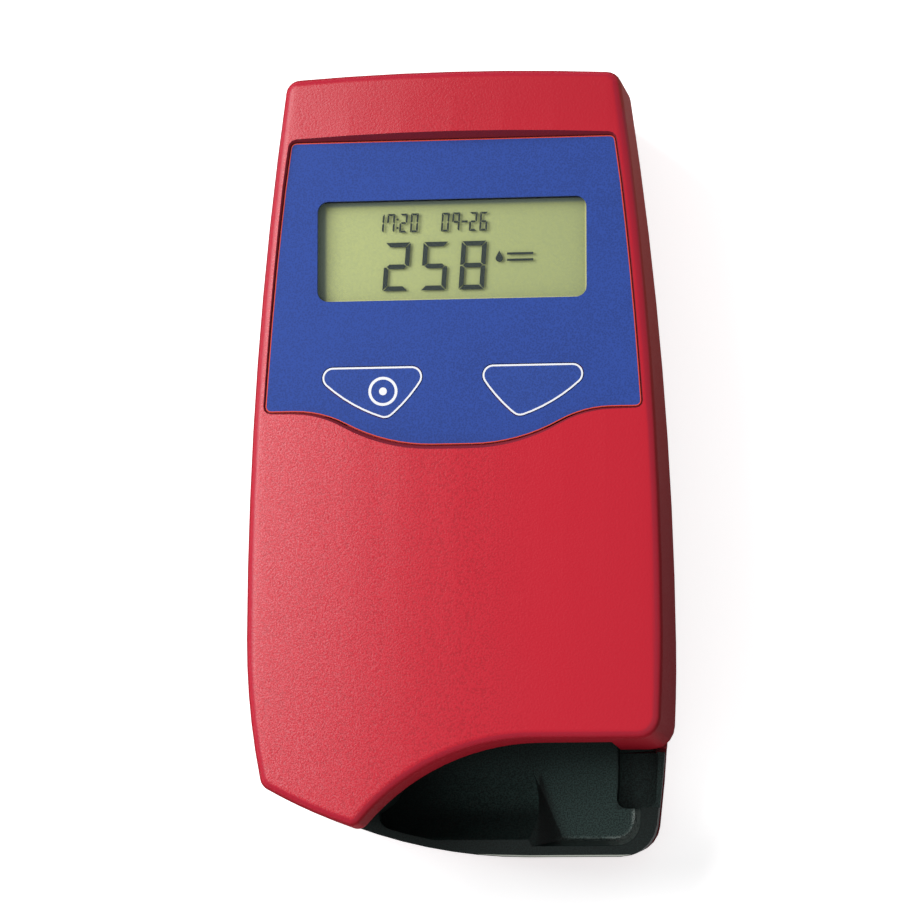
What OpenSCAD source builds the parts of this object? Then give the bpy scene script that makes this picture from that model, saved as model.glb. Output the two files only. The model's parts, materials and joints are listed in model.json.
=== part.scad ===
// Bench-top blood glucose meter: crowned two-part housing, sunken display
// panel with two keys, swing-out cuvette arm, photometer and battery bay.
// It lies on its back: +Z leaves the display face, +Y points to the display
// end, and the origin is on the table under the middle of the housing.

/* [Housing] */
// Length over the two ends
body_length = 160; // [152:1:176]
// Greatest width, at the lower edge of the cover
body_width = 86; // [83:0.5:96]
// Height from the table to the top of the crown
body_height = 43; // [42:0.5:50]
// Radius of the crown across the face
crown_radius = 300; // [240:10:600]
// Radius of the long sides above the widest place
side_radius = 820; // [700:20:1600]
// Radius of the left side below the widest place
left_low_radius = 140; // [120:5:300]
// Radius of the right side below the widest place
right_low_radius = 290; // [240:10:500]
// Widest place, measured from the cuvette end
widest_from_end = 44; // [40:1:56]
// Radius of the display end
top_end_radius = 870; // [600:10:1600]
// Radius of the swept part of the cuvette end
low_end_radius = 105; // [98:1:125]
// Where the swept part runs into the straight part, right of the middle
low_end_join = 13; // [9:0.5:16]
// Corner radius at the display end
top_corner_r = 3; // [2.4:0.1:4]
// Corner radius at the left of the cuvette end
left_corner_r = 3; // [2.4:0.1:4]
// Corner radius at the right of the cuvette end
right_corner_r = 7.5; // [6:0.5:9]
// Rounding along the edge of the face
edge_round = 2; // [1.4:0.1:2.2]
// Draft of the cover's skirt, in degrees
skirt_draft = 1.2; // [0.5:0.1:1.6]
// Lean of the back housing's walls, in degrees
back_lean = 5.5; // [4:0.5:7]
// Wall of both housing halves
wall = 2.2; // [1.8:0.1:2.6]
// Thickness of the crowned face
face_wall = 2.4; // [2:0.1:3]
// Height of the parting line at the display end
part_high = 23; // [22.5:0.5:25]
// Height of the parting line at the cuvette end
part_low = 9; // [8.5:0.5:10]
// Height that the tongue of the back housing enters the cover
tongue_h = 1.2; // [0.8:0.1:1.6]
// Height of the rubber feet below the floor
foot_h = 0.8; // [0.5:0.1:1.5]
// Thickness of the back housing's floor
floor_wall = 2.2; // [1.8:0.1:2.6]

/* [Swept cut-out of the cover] */
// Straight edge of the cut-out, from the cuvette end
cut_from_end = 22.8; // [22:0.2:26]
// Radius of the swept edge
cut_radius = 47; // [44:0.5:49]
// Where the swept edge runs into the straight one
cut_join = 17; // [15:0.5:18]
// Radius of the pointed tip beside the cut-out
tip_r = 2.2; // [1.6:0.1:2.8]
// Radius of the cover's corner over the arm
cut_corner_r = 4.6; // [4:0.1:5]
// Depth of the short skirt below the crown
short_skirt = 11; // [10:0.5:11.4]
// Left end of the deep skirt
deep_skirt_x = 31.4; // [31:0.1:33]

/* [Panel] */
// Upper edge of the panel, from the display end
panel_from_end = 14.4; // [12:0.2:17]
// Height of the panel down to its shoulders
panel_h = 55.5; // [53:0.5:58]
// Inset of the panel from the housing's sides
panel_inset = 2.8; // [2.7:0.1:3.4]
// Depth of the panel below the crown
panel_sink = 2.75; // [2.6:0.05:3.2]
// Drop of the wave below the shoulders
wave_drop = 7.2; // [5:0.2:8]
// Half width of the wave's straight middle
wave_flat = 4; // [2:0.5:6]
// Radius of the wave's belly
wave_belly_r = 37.5; // [32:0.5:42]
// Radius of the wave's shoulders
wave_shoulder_r = 22.5; // [18:0.5:26]
// Thickness of the panel
panel_t = 0.6; // [0.5:0.05:0.8]
// Gap round the panel
panel_gap = 0.25; // [0.2:0.05:0.4]
// Run of the pocket's sloping wall
pocket_flare = 1.1; // [0.8:0.1:1.3]

/* [Display] */
// Width of the window
window_w = 55.4; // [50:0.2:57]
// Height of the window
window_h = 20.8; // [18:0.2:22]
// Corner radius of the window
window_r = 2.2; // [1.5:0.1:3]
// Middle of the window, from the display end
window_from_end = 37; // [36:0.5:38]
// Width of the display glass
glass_w = 59; // [58:0.2:60]
// Height of the display glass
glass_h = 26; // [25:0.2:27]
// Thickness of each display glass
glass_t = 0.5; // [0.4:0.05:0.7]
// Depth of the display glass below the panel's face
glass_sink = 1.5; // [1.4:0.05:1.7]
// Thickness of the clear window
lens_t = 0.4; // [0.3:0.05:0.5]
// Height of the large digits
digit_h = 10; // [8:0.2:11]
// Height of the small digits
small_digit_h = 3.9; // [3:0.1:4.4]

/* [Keys] */
// Gap round each key
key_gap = 0.15; // [0.1:0.01:0.2]
// Travel of each key
key_travel = 0.4; // [0.3:0.05:0.5]
// Distance of a key's tip from the middle
key_tip_x = 13.4; // [13:0.1:14]
// Top edge of the keys above the panel's shoulders
key_top = 8.9; // [8:0.1:9.5]
// Height of a key down to its sharp tip
key_h = 10.9; // [10.3:0.1:11.2]
// Distance from a tip to the outer sharp corner
key_outer = 16.3; // [15.5:0.1:17]
// Distance from a tip to the inner sharp corner
key_inner = 8.9; // [8.4:0.1:9.2]
// Corner radius of the keys
key_r = 2.2; // [1.8:0.1:2.4]
// Radius of the keys' two bulging sides
key_bulge = 33; // [28:1:60]
// Diameter of the plunger under each key
plunger_d = 4; // [3:0.1:4.4]

/* [Cuvette arm] */
// Distance of the arm's pivot from the left side
pivot_inset = 19.5; // [18.5:0.1:20]
// Pivot of the arm, from the cuvette end
pivot_from_end = 18.5; // [18.2:0.1:19.2]
// Diameter of the pivot pin
pivot_pin_d = 4; // [3:0.1:5]
// Running clearance of the pin, on radius
pivot_play = 0.05; // [0.02:0.01:0.1]
// Distance from the pivot to the arm's rounded end
hub_r = 10.6; // [9.5:0.1:10.8]
// Height of the arm's rim above the table
rim_z = 18; // [17:0.2:20]
// Height of the finger pocket's floor
pocket_z = 12; // [11.6:0.1:12.2]
// Width of the rim's top
rim_w = 1.7; // [1.2:0.1:2.2]
// Inset of the arm from the cover's outline
arm_inset = 0.8; // [0.6:0.1:1.2]
// Gap between the arm and the fixed parts
arm_gap = 0.4; // [0.3:0.05:0.5]
// Distance of the cuvette channel's inner edge from the right side
channel_inset = 12.2; // [11.9:0.1:12.9]
// Width of the cuvette channel
channel_w = 6.1; // [5.6:0.1:6.1]
// Depth of the cuvette channel
channel_depth = 4.4; // [4.2:0.1:4.6]
// Lower end of the channel's notch, from the cuvette end
notch_from_end = 10.1; // [9:0.1:11]
// Radius of the scoop's floor where it climbs to the rim
scoop_r = 24; // [22:1:28]
// Diameter of the light path through the arm
light_d = 4; // [3:0.1:5]

/* [Batteries] */
// Number of cells
cells = 4; // [3:1:4]
// Diameter of a cell
cell_d = 14.2; // [13.5:0.1:14.5]
// Length of a cell with its button
cell_l = 50.5; // [49:0.1:51]
// Pitch of the cells
cell_pitch = 14.6; // [14.5:0.1:14.7]
// Room for the contacts at both ends of a cell
contact_room = 2; // [1.6:0.1:2.4]

/* [Electronics] */
// Thickness of the circuit board
board_t = 1.6; // [1:0.1:2]
// Height of the circuit board above the roof of the battery bay
board_lift = 9.65; // [9.45:0.05:9.85]
// Diameter of the housing screws' threads
screw_d = 2.9; // [2.5:0.1:3.5]
// Bore of the power socket
dc_bore = 5.6; // [5:0.1:6]
// Centre pin of the power socket
dc_pin = 2; // [1.6:0.1:2.2]
// Width of the data socket's opening
data_w = 9.8; // [9:0.1:11]
// Height of the data socket's opening
data_h = 5.6; // [5.2:0.1:6]

/* [Hidden] */
$fn = 24;
e = 0.01;
big = 400;
far = 20000;          // radius of an edge that is drawn as a straight line
seat = 0.3;           // gap between pieces that sit close without touching

end_high = body_length / 2;
end_low = -body_length / 2;
side_edge_z = body_height - crown_radius + sqrt(pow(crown_radius, 2) - pow(body_width / 2, 2));
y_low = end_low;
y_wide = y_low + widest_from_end;
skirt_low = part_low - 3;
skirt_run = (side_edge_z - edge_round - skirt_low) * tan(skirt_draft);
part_slope = atan((part_high - part_low) / body_length);
part_mid = (part_high + part_low) / 2;
face_half = body_width / 2 - (side_edge_z - edge_round - part_z(y_wide)) * tan(skirt_draft);
y_top = end_high - skirt_run * (body_height - edge_round - part_high)
    / (body_height - edge_round - skirt_low);
crown_z0 = body_height - crown_radius;
floor_z = foot_h;
floor_top = foot_h + floor_wall;
edge_steps = 5;
cut_y = y_low + cut_from_end;
cut_c = [cut_join, cut_y - cut_radius];
short_skirt_z = body_height - short_skirt;
deep_skirt_z = pocket_z + arm_gap;

bay_x = cell_l / 2 + contact_room;
bay_y1 = end_high - 6;
bay_y0 = bay_y1 - cells * cell_pitch;
bay_wall = 1.5;
cell_z = floor_top + 0.3 + cell_d / 2;
bay_top = cell_z + cell_d / 2 + 0.4;
board_z = bay_top + bay_wall + board_lift;
door_w = 2 * bay_x - 0.5;

pan_top = end_high - panel_from_end;
pan_low = pan_top - panel_h;
wave_a = acos(1 - wave_drop / (wave_belly_r + wave_shoulder_r));
wave_y = pan_low - wave_drop;
wave_x = wave_flat + (wave_belly_r + wave_shoulder_r) * sin(wave_a);
panel_z = body_height - panel_sink - panel_t;
slab_z = panel_z - 2.05;
disp = [-0.2, end_high - window_from_end];
frame_rim = 1.8;
pivot = [-body_width / 2 + pivot_inset, end_low + pivot_from_end];
channel_r = body_width / 2 - channel_inset - pivot.x;
hub_top = short_skirt_z - 2 * arm_gap;
pin_top = hub_top + 2.8;
shield_t = 1.8;
shield_r = cut_radius + wall + shield_t + arm_gap;
platform_r = channel_r + channel_w + 0.8;
hub_room_r = hub_r + arm_gap + 1.7;
post_x = face_half - 9.4;
post_xy = [[-post_x, bay_y0 - 9.6], [post_x, bay_y0 - 9.6],
           [-post_x - 1, end_low + 50], [post_x + 1, end_low + 56]];
post_d = 7;
post_low = 18;
boss_top = body_height - face_wall - 1.1;
pilot_top = slab_z - 1;
board_y1 = end_high - 8;
board_y0 = bay_y0 - 5.4;
board_w = 2 * (pan_side(board_y1, panel_inset) - wall - 0.7);
board_in = 6;         // distance of the board's screws from its edges
board_low = board_y0 + 14.3;
board_xy = [for (y = [board_y1 - board_in, board_low], s = [-1, 1]) [s * (board_w / 2 - board_in), y]];
key_y = pan_low + key_top;
key_mid = 14.4;
key_mid_y = key_y - 5.1;
sockets_x = [[-16, 10.4], [14, 12.4]];
socket_h = 7.4;

part_step = 0.8;
arm_z = floor_top + 2.3;
optics_z = 6;
optics_y = end_low + 46.6;
foot_rounds = [[pivot.x - 4.5, end_low + 30], [body_width / 2 - 17, end_low + 12]];
foot_d = 9;
foot_recess = 0.6;
strip_x = door_w / 2 + 3.6;
spring = [pivot.x - 9.5, pivot.y + 17.5];
leaf_y = pivot.y + hub_r + 1.3;

face_z = panel_z + panel_t;
switch_w = 6;
switch_h = 3.1;
switch_top = board_z + board_t + switch_h + 0.85;
glass_z = face_z - glass_sink;
segment_t = 0.1;
frame_shelf = glass_z - 2 * glass_t - segment_t - 0.3;
frame_top = glass_z - glass_t - segment_t;
strip_y = glass_h / 2 - 1.25;
digit_slant = 3.9;

platform_z = pocket_z - 4.8;
fork_top = 27;
light_a = 14;
light_r = channel_r - 4.3;
light = pivot + light_r * [cos(light_a), sin(light_a)];
notch_x = face_half - 3.3;
scoop_y = end_low + 19.5;
optics_x = light.x;
optics_xy = [[optics_x - 19, optics_y + 5.9], [optics_x + 1, optics_y + 5.9]];

function crown(x) = crown_z0 + sqrt(pow(crown_radius, 2) - x * x);
function part_z(y) = part_mid + y * tan(part_slope);

// ---- outlines as chains of tangent or crossing circles ------------------
// An edge is [centre, radius, sense]: sense 1 keeps the inside of the circle
// and -1 the outside. A corner between two edges has a radius and a side,
// which says which of the circles' two crossings it is. Radius 0 is a plain
// joint where the two circles already touch at the given angle.
function crossing(c1, r1, c2, r2, side) =
    let (v = c2 - c1, d = norm(v), u = v / d,
         a = (r1 * r1 - r2 * r2 + d * d) / (2 * d),
         h = sqrt(max(0, r1 * r1 - a * a)))
    c1 + a * u + side * h * [-u.y, u.x];
function angle_of(v) = atan2(v.y, v.x);
function turned(a, near) = a + 360 * round((near - a) / 360);

// Centre of the corner circle of radius r between edges f and g, inset by d
function corner_centre(f, g, r, side, d) =
    crossing(f[0], f[1] - f[2] * (r + d), g[0], g[1] - g[2] * (r + d), side);
function joined(lists) = [for (l = lists) for (p = l) p];

// Outline of a closed chain, counter-clockwise. corners[i] = [radius, side,
// angle] joins edge i to edge i + 1; an angle stands in for a plain joint.
// counts[i] gives the pieces of edge i, and d insets the whole outline.
function chain(edges, corners, counts, d = 0, corner_n = 5) =
    let (n = len(edges),
         cen = [for (i = [0 : n - 1])
             let (f = edges[i], g = edges[(i + 1) % n], k = corners[i])
             k[0] == 0 ? undef : corner_centre(f, g, max(k[0] - d, 0.3), k[1], d)],
         ends = [for (i = [0 : n - 1])
             let (f = edges[i], g = edges[(i + 1) % n], k = corners[i])
             k[0] == 0 ? [k[2], k[2]]
                       : [angle_of(cen[i] - f[0]), angle_of(cen[i] - g[0])]])
    joined([for (i = [0 : n - 1])
        let (f = edges[i], j = (i + n - 1) % n,
             a0 = ends[j][1], a1 = turned(ends[i][0], a0),
             rr = f[1] - f[2] * d, m = counts[i], k = corners[i], g = edges[(i + 1) % n],
             run = [for (s = [0 : m]) f[0] + rr * [cos(a0 + (a1 - a0) * s / m),
                                                   sin(a0 + (a1 - a0) * s / m)]],
             b0 = f[2] > 0 ? ends[i][0] : ends[i][0] + 180,
             b1 = turned(g[2] > 0 ? ends[i][1] : ends[i][1] + 180, b0),
             rc = max(k[0] - d, 0.3))
        concat(k[0] == 0 ? [for (s = [0 : m - 1]) run[s]] : run,
               k[0] == 0 ? [] : [for (s = [1 : corner_n - 1])
                   cen[i] + rc * [cos(b0 + (b1 - b0) * s / corner_n),
                                  sin(b0 + (b1 - b0) * s / corner_n)]])]);

right_up = [[face_half - side_radius, y_wide], side_radius, 1];
right_down = [[face_half - right_low_radius, y_wide], right_low_radius, 1];
left_up = [[side_radius - face_half, y_wide], side_radius, 1];
left_down = [[left_low_radius - face_half, y_wide], left_low_radius, 1];
top_end = [[0, y_top - top_end_radius], top_end_radius, 1];
low_sweep = [[low_end_join, y_low + low_end_radius], low_end_radius, 1];
low_line = [[low_end_join, y_low + far], far, 1];
cut_sweep = [cut_c, cut_radius, -1];
cut_line = [[cut_join, cut_y - far], far, -1];

// Outline of the whole meter, and of the cover with its cut-out
function body_outline(d = 0) = chain(
    [right_up, top_end, left_up, left_down, low_sweep, low_line, right_down],
    [[top_corner_r, 1], [top_corner_r, 1], [0, 0, 180], [left_corner_r, 1],
     [0, 0, 270], [right_corner_r, 1], [0, 0, 0]],
    [6, 4, 6, 5, 9, 1, 4], d);
function cover_outline(d = 0) = chain(
    [right_up, top_end, left_up, left_down, low_sweep, cut_sweep, cut_line, right_down],
    [[top_corner_r, 1], [top_corner_r, 1], [0, 0, 180], [left_corner_r, 1],
     [tip_r, -1], [0, 0, 90], [cut_corner_r, -1], [0, 0, 0]],
    [8, 6, 8, 5, 5, 14, 3, 3], d);

// ---- solids between stacked rings ---------------------------------------
function ring_walls(n, k) = [for (r = [0 : k - 2]) for (i = [0 : n - 1])
    let (a = r * n + i, b = r * n + (i + 1) % n)
    each [[a, a + n, b + n], [a, b + n, b]]];

// Solid with flat ends through rings of equally many points
module stack(rings) {
    n = len(rings[0]);
    k = len(rings);
    polyhedron(joined(rings), concat([[for (i = [0 : n - 1]) i]], ring_walls(n, k),
        [[for (i = [n - 1 : -1 : 0]) (k - 1) * n + i]]));
}
function at_z(pts, z) = [for (p = pts) [p.x, p.y, z]];

// Triangles that close an outline whose upper and lower chains both run
// from its left end to its right end, so that they follow the crown
function leftmost(pts) = [for (i = [0 : len(pts) - 1]) if (pts[i].x == min([for (p = pts) p.x])) i][0];
function rightmost(pts) = [for (i = [0 : len(pts) - 1]) if (pts[i].x == max([for (p = pts) p.x])) i][0];
function zipped(pts, upper, lower) =
    [for (i = 0, j = 0; i + j < len(upper) + len(lower) - 1;
          up = j >= len(lower) - 1 || (i < len(upper) - 1
              && pts[upper[i + 1]].x <= pts[lower[j + 1]].x),
          i = up ? i + 1 : i, j = up ? j : j + 1)
     let (up = j >= len(lower) - 1 || (i < len(upper) - 1
              && pts[upper[i + 1]].x <= pts[lower[j + 1]].x))
     if (i + j < len(upper) + len(lower) - 2)
     up ? [upper[i], upper[i + 1], lower[j]] : [upper[i], lower[j + 1], lower[j]]];
function crown_cap(pts, start) =
    let (n = len(pts), l = leftmost(pts), r = rightmost(pts),
         lower = [for (i = [0 : (r - l + n) % n]) (l + i) % n],
         upper = [for (i = [0 : (l - r + n) % n]) (l - i + n) % n],
         tri = zipped(pts, upper, lower))
    [for (t = tri) if (t[0] != t[1] && t[1] != t[2] && t[0] != t[2])
        [start + t[0], start + t[1], start + t[2]]];

// The cover's full outer form: drafted skirt, rounded edge, crowned face
module cover_form() {
    low = cover_outline(-skirt_run);
    rings = concat([at_z(low, skirt_low)],
        [for (s = [0 : edge_steps])
            let (a = 90 * s / edge_steps, flat = cover_outline(edge_round * (1 - cos(a))))
            [for (p = flat) [p.x, p.y, crown(p.x) - edge_round * (1 - sin(a))]]]);
    n = len(low);
    k = len(rings);
    polyhedron(joined(rings), concat([[for (i = [0 : n - 1]) i]], ring_walls(n, k),
        crown_cap(rings[k - 1], (k - 1) * n)));
}

// Everything below the slanted parting plane, lifted by up
module below_parting(up = 0) {
    translate([0, 0, part_mid + up]) rotate([part_slope, 0, 0])
        translate([-big / 2, -big / 2, -big]) cube([big, big, big]);
}

module prism(pts, z0, z1) {
    translate([0, 0, z0]) linear_extrude(z1 - z0) polygon(pts);
}
module rod(p, d, z0, z1) {
    translate([p.x, p.y, z0]) cylinder(d = d, h = z1 - z0);
}
module slab(x0, x1, y0, y1, z0, z1) {
    translate([x0, y0, z0]) cube([x1 - x0, y1 - y0, z1 - z0]);
}

// Outline of the pocket in the cover that holds the panel, grown by g. The
// shoulders and the belly of its wave are tangent arcs.
function pan_side(y, g) = face_half - side_radius
    + sqrt(pow(side_radius, 2) - pow(y - y_wide, 2)) - panel_inset + g;
function wave_half(g) = concat(
    [for (i = [0 : 8]) let (a = wave_a * i / 8)
        [wave_flat + (wave_belly_r + g) * sin(a), wave_y + wave_belly_r - (wave_belly_r + g) * cos(a)]],
    [for (i = [1 : 6]) let (a = wave_a * (1 - i / 6))
        [wave_x - (wave_shoulder_r - g) * sin(a),
         pan_low - wave_shoulder_r + (wave_shoulder_r - g) * cos(a)]]);
function mirrored(pts) = [for (i = [len(pts) - 1 : -1 : 0]) [-pts[i].x, pts[i].y]];
function panel_pts(g = 0) =
    let (top = pan_top + g, low = pan_low - g, r = 1 + max(g, 0),
         half = concat([for (p = wave_half(g)) p],
             [for (i = [0 : 3]) let (a = -90 + 30 * i)
                 [pan_side(low, g) - r + r * cos(a), low + r + r * sin(a)]],
             [for (i = [1 : 5]) let (y = low + r + (top - low - 2 * r) * i / 6) [pan_side(y, g), y]],
             [for (i = [0 : 3]) let (a = 30 * i)
                 [pan_side(top, g) - r + r * cos(a), top - r + r * sin(a)]]))
    concat(half, mirrored(half));

// ---- top cover ----------------------------------------------------------
module crown_room(depth) {
    rotate([90, 0, 0]) linear_extrude(2 * body_length, center = true)
        polygon(concat([for (i = [-8 : 8]) let (x = i * body_width / 15) [x, crown(x) - depth]],
            [[body_width, 0], [-body_width, 0]]));
}
module key_prism(side, g, z0, z1) {
    translate([0, 0, z0]) linear_extrude(z1 - z0)
        mirror([side < 0 ? 0 : 1, 0]) key_shape(g);
}
// Left key: a straight top and two bulging sides through sharp corners, then rounded
module key_shape(g) {
    tip = [-key_tip_x, key_y - key_h];
    outer = [-key_tip_x - key_outer, key_y];
    inner = [-key_tip_x + key_inner, key_y];
    offset(r = g) offset(r = key_r) offset(delta = -key_r) intersection() {
        bulge(outer, tip);
        bulge(tip, inner);
        translate([outer.x, tip.y]) square([inner.x - outer.x, key_h]);
    }
}
// Disc whose rim passes a and b, with the inside on the left of a to b
module bulge(a, b) {
    v = b - a;
    u = [-v.y, v.x] / norm(v);
    c = (a + b) / 2 + u * sqrt(pow(key_bulge, 2) - v * v / 4);
    translate(c) circle(r = key_bulge, $fn = 90);
}
module screw_posts() {
    for (p = post_xy) rod(p, post_d, post_low, boss_top);
}
module top_cover() {
    difference() {
        union() {
            difference() {
                cover_form();
                below_parting();
                intersection() {
                    prism(cover_outline(wall), -1, body_height);
                    crown_room(face_wall);
                }
            }
            intersection() {
                prism(panel_pts(1.5), slab_z, body_height);
                crown_room(face_wall / 2);
            }
            screw_posts();
            for (p = board_xy) rod(p, 5, board_z + board_t, panel_z - 0.5);
            rod(pivot, 8, hub_top + seat, boss_top + 1);
        }
        // pocket of the panel, display and keys
        stack([at_z(panel_pts(panel_gap), panel_z),
               at_z(panel_pts(panel_gap + pocket_flare), panel_z + panel_sink + panel_t)]);
        box_at(disp, glass_w + 2 * frame_rim + 2 * seat, glass_h + 2 * frame_rim + 2 * seat,
               slab_z - 1, panel_z + e);
        for (s = [-1, 1]) {
            key_prism(s, key_gap, panel_z - key_travel - 0.1, panel_z + e);
            rod([s * key_mid, key_mid_y], plunger_d + 0.6, slab_z - 1, panel_z);
            box_at([s * key_mid, key_mid_y], switch_w + 2 * seat, switch_w + 2 * seat,
                   board_z, board_z + board_t + switch_h + seat);
        }
        // pilot bores
        for (p = post_xy) rod(p, screw_d + 0.1, post_low - e, post_low + 12);
        for (p = board_xy) rod(p, 2.1, board_z, pilot_top);
        rod(pivot, pivot_pin_d + 0.1, hub_top, pin_top + 0.5);
        // room for the arm
        prism(sector(36, platform_r + arm_gap, -26, 27, 8), -1, deep_skirt_z);
        difference() {
            union() {
                prism(circle_at(cut_c, shield_r + arm_gap), -1, short_skirt_z);
                rod(pivot, 2 * hub_room_r, -1, hub_top + arm_gap);
            }
            slab(deep_skirt_x, big, -big, big, deep_skirt_z, big);
        }
        sockets_room();
    }
}
function circle_at(c, r, n = 72) = [for (i = [0 : n - 1]) c + r * [cos(360 * i / n), sin(360 * i / n)]];
module box_at(c, w, h, z0, z1) {
    slab(c.x - w / 2, c.x + w / 2, c.y - h / 2, c.y + h / 2, z0, z1);
}
// Cut-outs of both sockets in the display end
module sockets_room() {
    for (s = sockets_x) slab(s[0] - s[1] / 2, s[0] + s[1] / 2, end_high - 9, end_high + 5,
                             board_z - seat - socket_h - 0.4, board_z - seat + 0.1);
}

// ---- back housing -------------------------------------------------------
function mixed(a, b) = [for (i = [0 : len(a) - 1])
    let (t = (a[i].y - end_low) / body_length) a[i] * (1 - t) + b[i] * t];
function back_flat(drop, extra) = mixed(
    body_outline(part_step + (part_low - drop) * tan(back_lean) + extra),
    body_outline(part_step + (part_high - drop) * tan(back_lean) + extra));
function back_ring(z, extra) = at_z(back_flat(z, extra), z);
function slanted_ring(up, extra) = [for (p = body_outline(part_step + extra)) [p.x, p.y, part_z(p.y) + up]];
module parting_band(pts, low, high) {
    difference() {
        intersection() {
            prism(pts, 0, body_height);
            below_parting(high);
        }
        below_parting(low);
    }
}
module back_housing() {
    difference() {
        union() {
            difference() {
                stack([back_ring(floor_z, 1.3), back_ring(floor_z + 1.5, 0), slanted_ring(0, 0)]);
                stack([back_ring(floor_top, wall), slanted_ring(6, wall)]);
            }
            difference() {
                parting_band(body_outline(wall + 0.15), -1.2, tongue_h);
                parting_band(body_outline(wall + 1.15), -4, tongue_h + 4);
            }
            // battery bay
            intersection() {
                slab(-bay_x - bay_wall, bay_x + bay_wall, bay_y0 - bay_wall, end_high,
                     floor_top - e, bay_top + bay_wall);
                stack([back_ring(floor_top - 1, 1), slanted_ring(6, 1)]);
            }
            for (p = post_xy) rod(p, 8, floor_z, post_low);
            rod(pivot, 8, floor_z, arm_z - seat);
            rod(spring, 5, floor_top - e, arm_z - 0.5);
            for (p = optics_xy) rod(p, 5, floor_top - e, optics_z);
            for (p = foot_rounds) rod(p, 10.4, floor_top - e, floor_top + 0.6);
        }
        // cells, and the door with its tracks
        slab(-bay_x, bay_x, bay_y0, bay_y1, floor_z - 1, bay_top);
        door_room();
        for (p = post_xy) {
            rod(p, 6.4, -1, post_low - 8);
            rod(p, screw_d + 0.5, -1, post_low + 1);
        }
        rod(pivot, pivot_pin_d, 1.5, arm_z);
        for (p = optics_xy) rod(p, 1.8, floor_top, optics_z + 1);
        for (p = foot_rounds) rod(p, foot_d + 0.2, -1, floor_z + foot_recess);
        for (s = [-1, 1]) foot_strip(s, 0.1, -1, floor_z + foot_recess);
        // room for the arm
        prism(circle_at(cut_c, shield_r + arm_gap), arm_z - seat, big);
        prism(sector(36, platform_r + arm_gap, -26, 27, 8), platform_z - arm_gap, big);
        rod(pivot, 2 * hub_room_r, arm_z - seat, big);
        slab(cut_join, big, end_low - 9, cut_y, arm_z - seat, big);
        sockets_room();
    }
}
module foot_strip(side, g, z0, z1) {
    slab(side * strip_x - 1.3 - g, side * strip_x + 1.3 + g,
         end_high - 50 - g, end_high - 18 + g, z0, z1);
}
// Door plate, its tongues and the way it slides
module door_room() {
    slab(-door_w / 2 - 0.15, door_w / 2 + 0.15, bay_y0 - 0.15, big, -1, floor_top + e);
    slab(-door_w / 2 - 1.6, door_w / 2 + 1.6, bay_y0 - 0.15, big, 1.5, 2.7);
    slab(-door_w / 2 - 1.6, door_w / 2 + 1.6, bay_y1, big, -1, 2);
}
module battery_door() {
    difference() {
        intersection() {
            union() {
                slab(-door_w / 2, door_w / 2, bay_y0, end_high, floor_z, floor_top);
                slab(-door_w / 2 - 1.3, door_w / 2 + 1.3, bay_y0, bay_y1 - 2, 1.7, 2.5);
            }
            stack([back_ring(floor_z, 1.3), back_ring(floor_z + 1.5, 0), back_ring(floor_top + 1, 0)]);
        }
        for (i = [0 : 5]) slab(-9, 9, bay_y0 + 6 + 2 * i, bay_y0 + 7 + 2 * i, 0, floor_z + 0.5);
    }
}
module rubber_feet() {
    for (p = foot_rounds) rod(p, foot_d, 0, floor_z + foot_recess);
    for (s = [-1, 1]) foot_strip(s, 0, 0, floor_z + foot_recess);
}
module housing_screws() {
    for (p = post_xy) {
        rod(p, 5.8, post_low - 10.2, post_low - 8);
        rod(p, screw_d, post_low - 8 - e, post_low + 8);
    }
}
module battery_cell(i) {
    y = bay_y1 - cell_pitch * (i + 0.5);
    s = i % 2 == 0 ? 1 : -1;
    translate([0, y, cell_z]) rotate([0, 90 * s, 0]) translate([0, 0, -cell_l / 2]) {
        cylinder(d = cell_d, h = cell_l - 1.2);
        cylinder(d = 5.4, h = cell_l);
    }
}
module battery_contacts() {
    for (i = [0 : cells - 1], s = [-1, 1]) {
        y = bay_y1 - cell_pitch * (i + 0.5);
        slab(s * (bay_x - 0.4) - 0.25, s * (bay_x - 0.4) + 0.25, y - 5, y + 5, 5, bay_top - 2);
        translate([s * (bay_x - 0.6), y, cell_z]) rotate([0, -90 * s, 0])
            cylinder(d1 = 6, d2 = 3.4, h = contact_room - 0.62, $fn = 16);
    }
}

// ---- panel, keys and display --------------------------------------------
module rounded(c, w, h, r, z0, z1) {
    translate([c.x, c.y, z0]) linear_extrude(z1 - z0) offset(r = r)
        square([w - 2 * r, h - 2 * r], center = true);
}
module front_panel() {
    difference() {
        prism(panel_pts(0), panel_z, face_z);
        rounded(disp, window_w, window_h, window_r, panel_z - 1, face_z + 1);
        for (s = [-1, 1]) key_prism(s, key_gap, panel_z - 1, face_z + 1);
    }
}
module key_body(side) {
    key_prism(side, 0, panel_z, face_z);
}
module plunger(side) {
    rod([side * key_mid, key_mid_y], plunger_d, switch_top + key_travel + 0.05, panel_z);
}
module key_switch(side) {
    c = [side * key_mid, key_mid_y];
    box_at(c, switch_w, switch_w, board_z + board_t, board_z + board_t + switch_h);
    rod(c, 3.4, board_z + board_t + switch_h - 0.1, switch_top);
}
module display_window() {
    rounded(disp, window_w + 2.4, window_h + 2.4, window_r, panel_z - lens_t, panel_z);
}
module display_front_glass() {
    box_at(disp, glass_w, glass_h, glass_z - glass_t, glass_z);
}
module display_rear_glass() {
    box_at(disp, glass_w, glass_h - 5, glass_z - 2 * glass_t - segment_t, glass_z - glass_t - segment_t);
}
module display_reflector() {
    box_at(disp, glass_w, glass_h - 5, frame_shelf, frame_shelf + 0.3);
}
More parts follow.
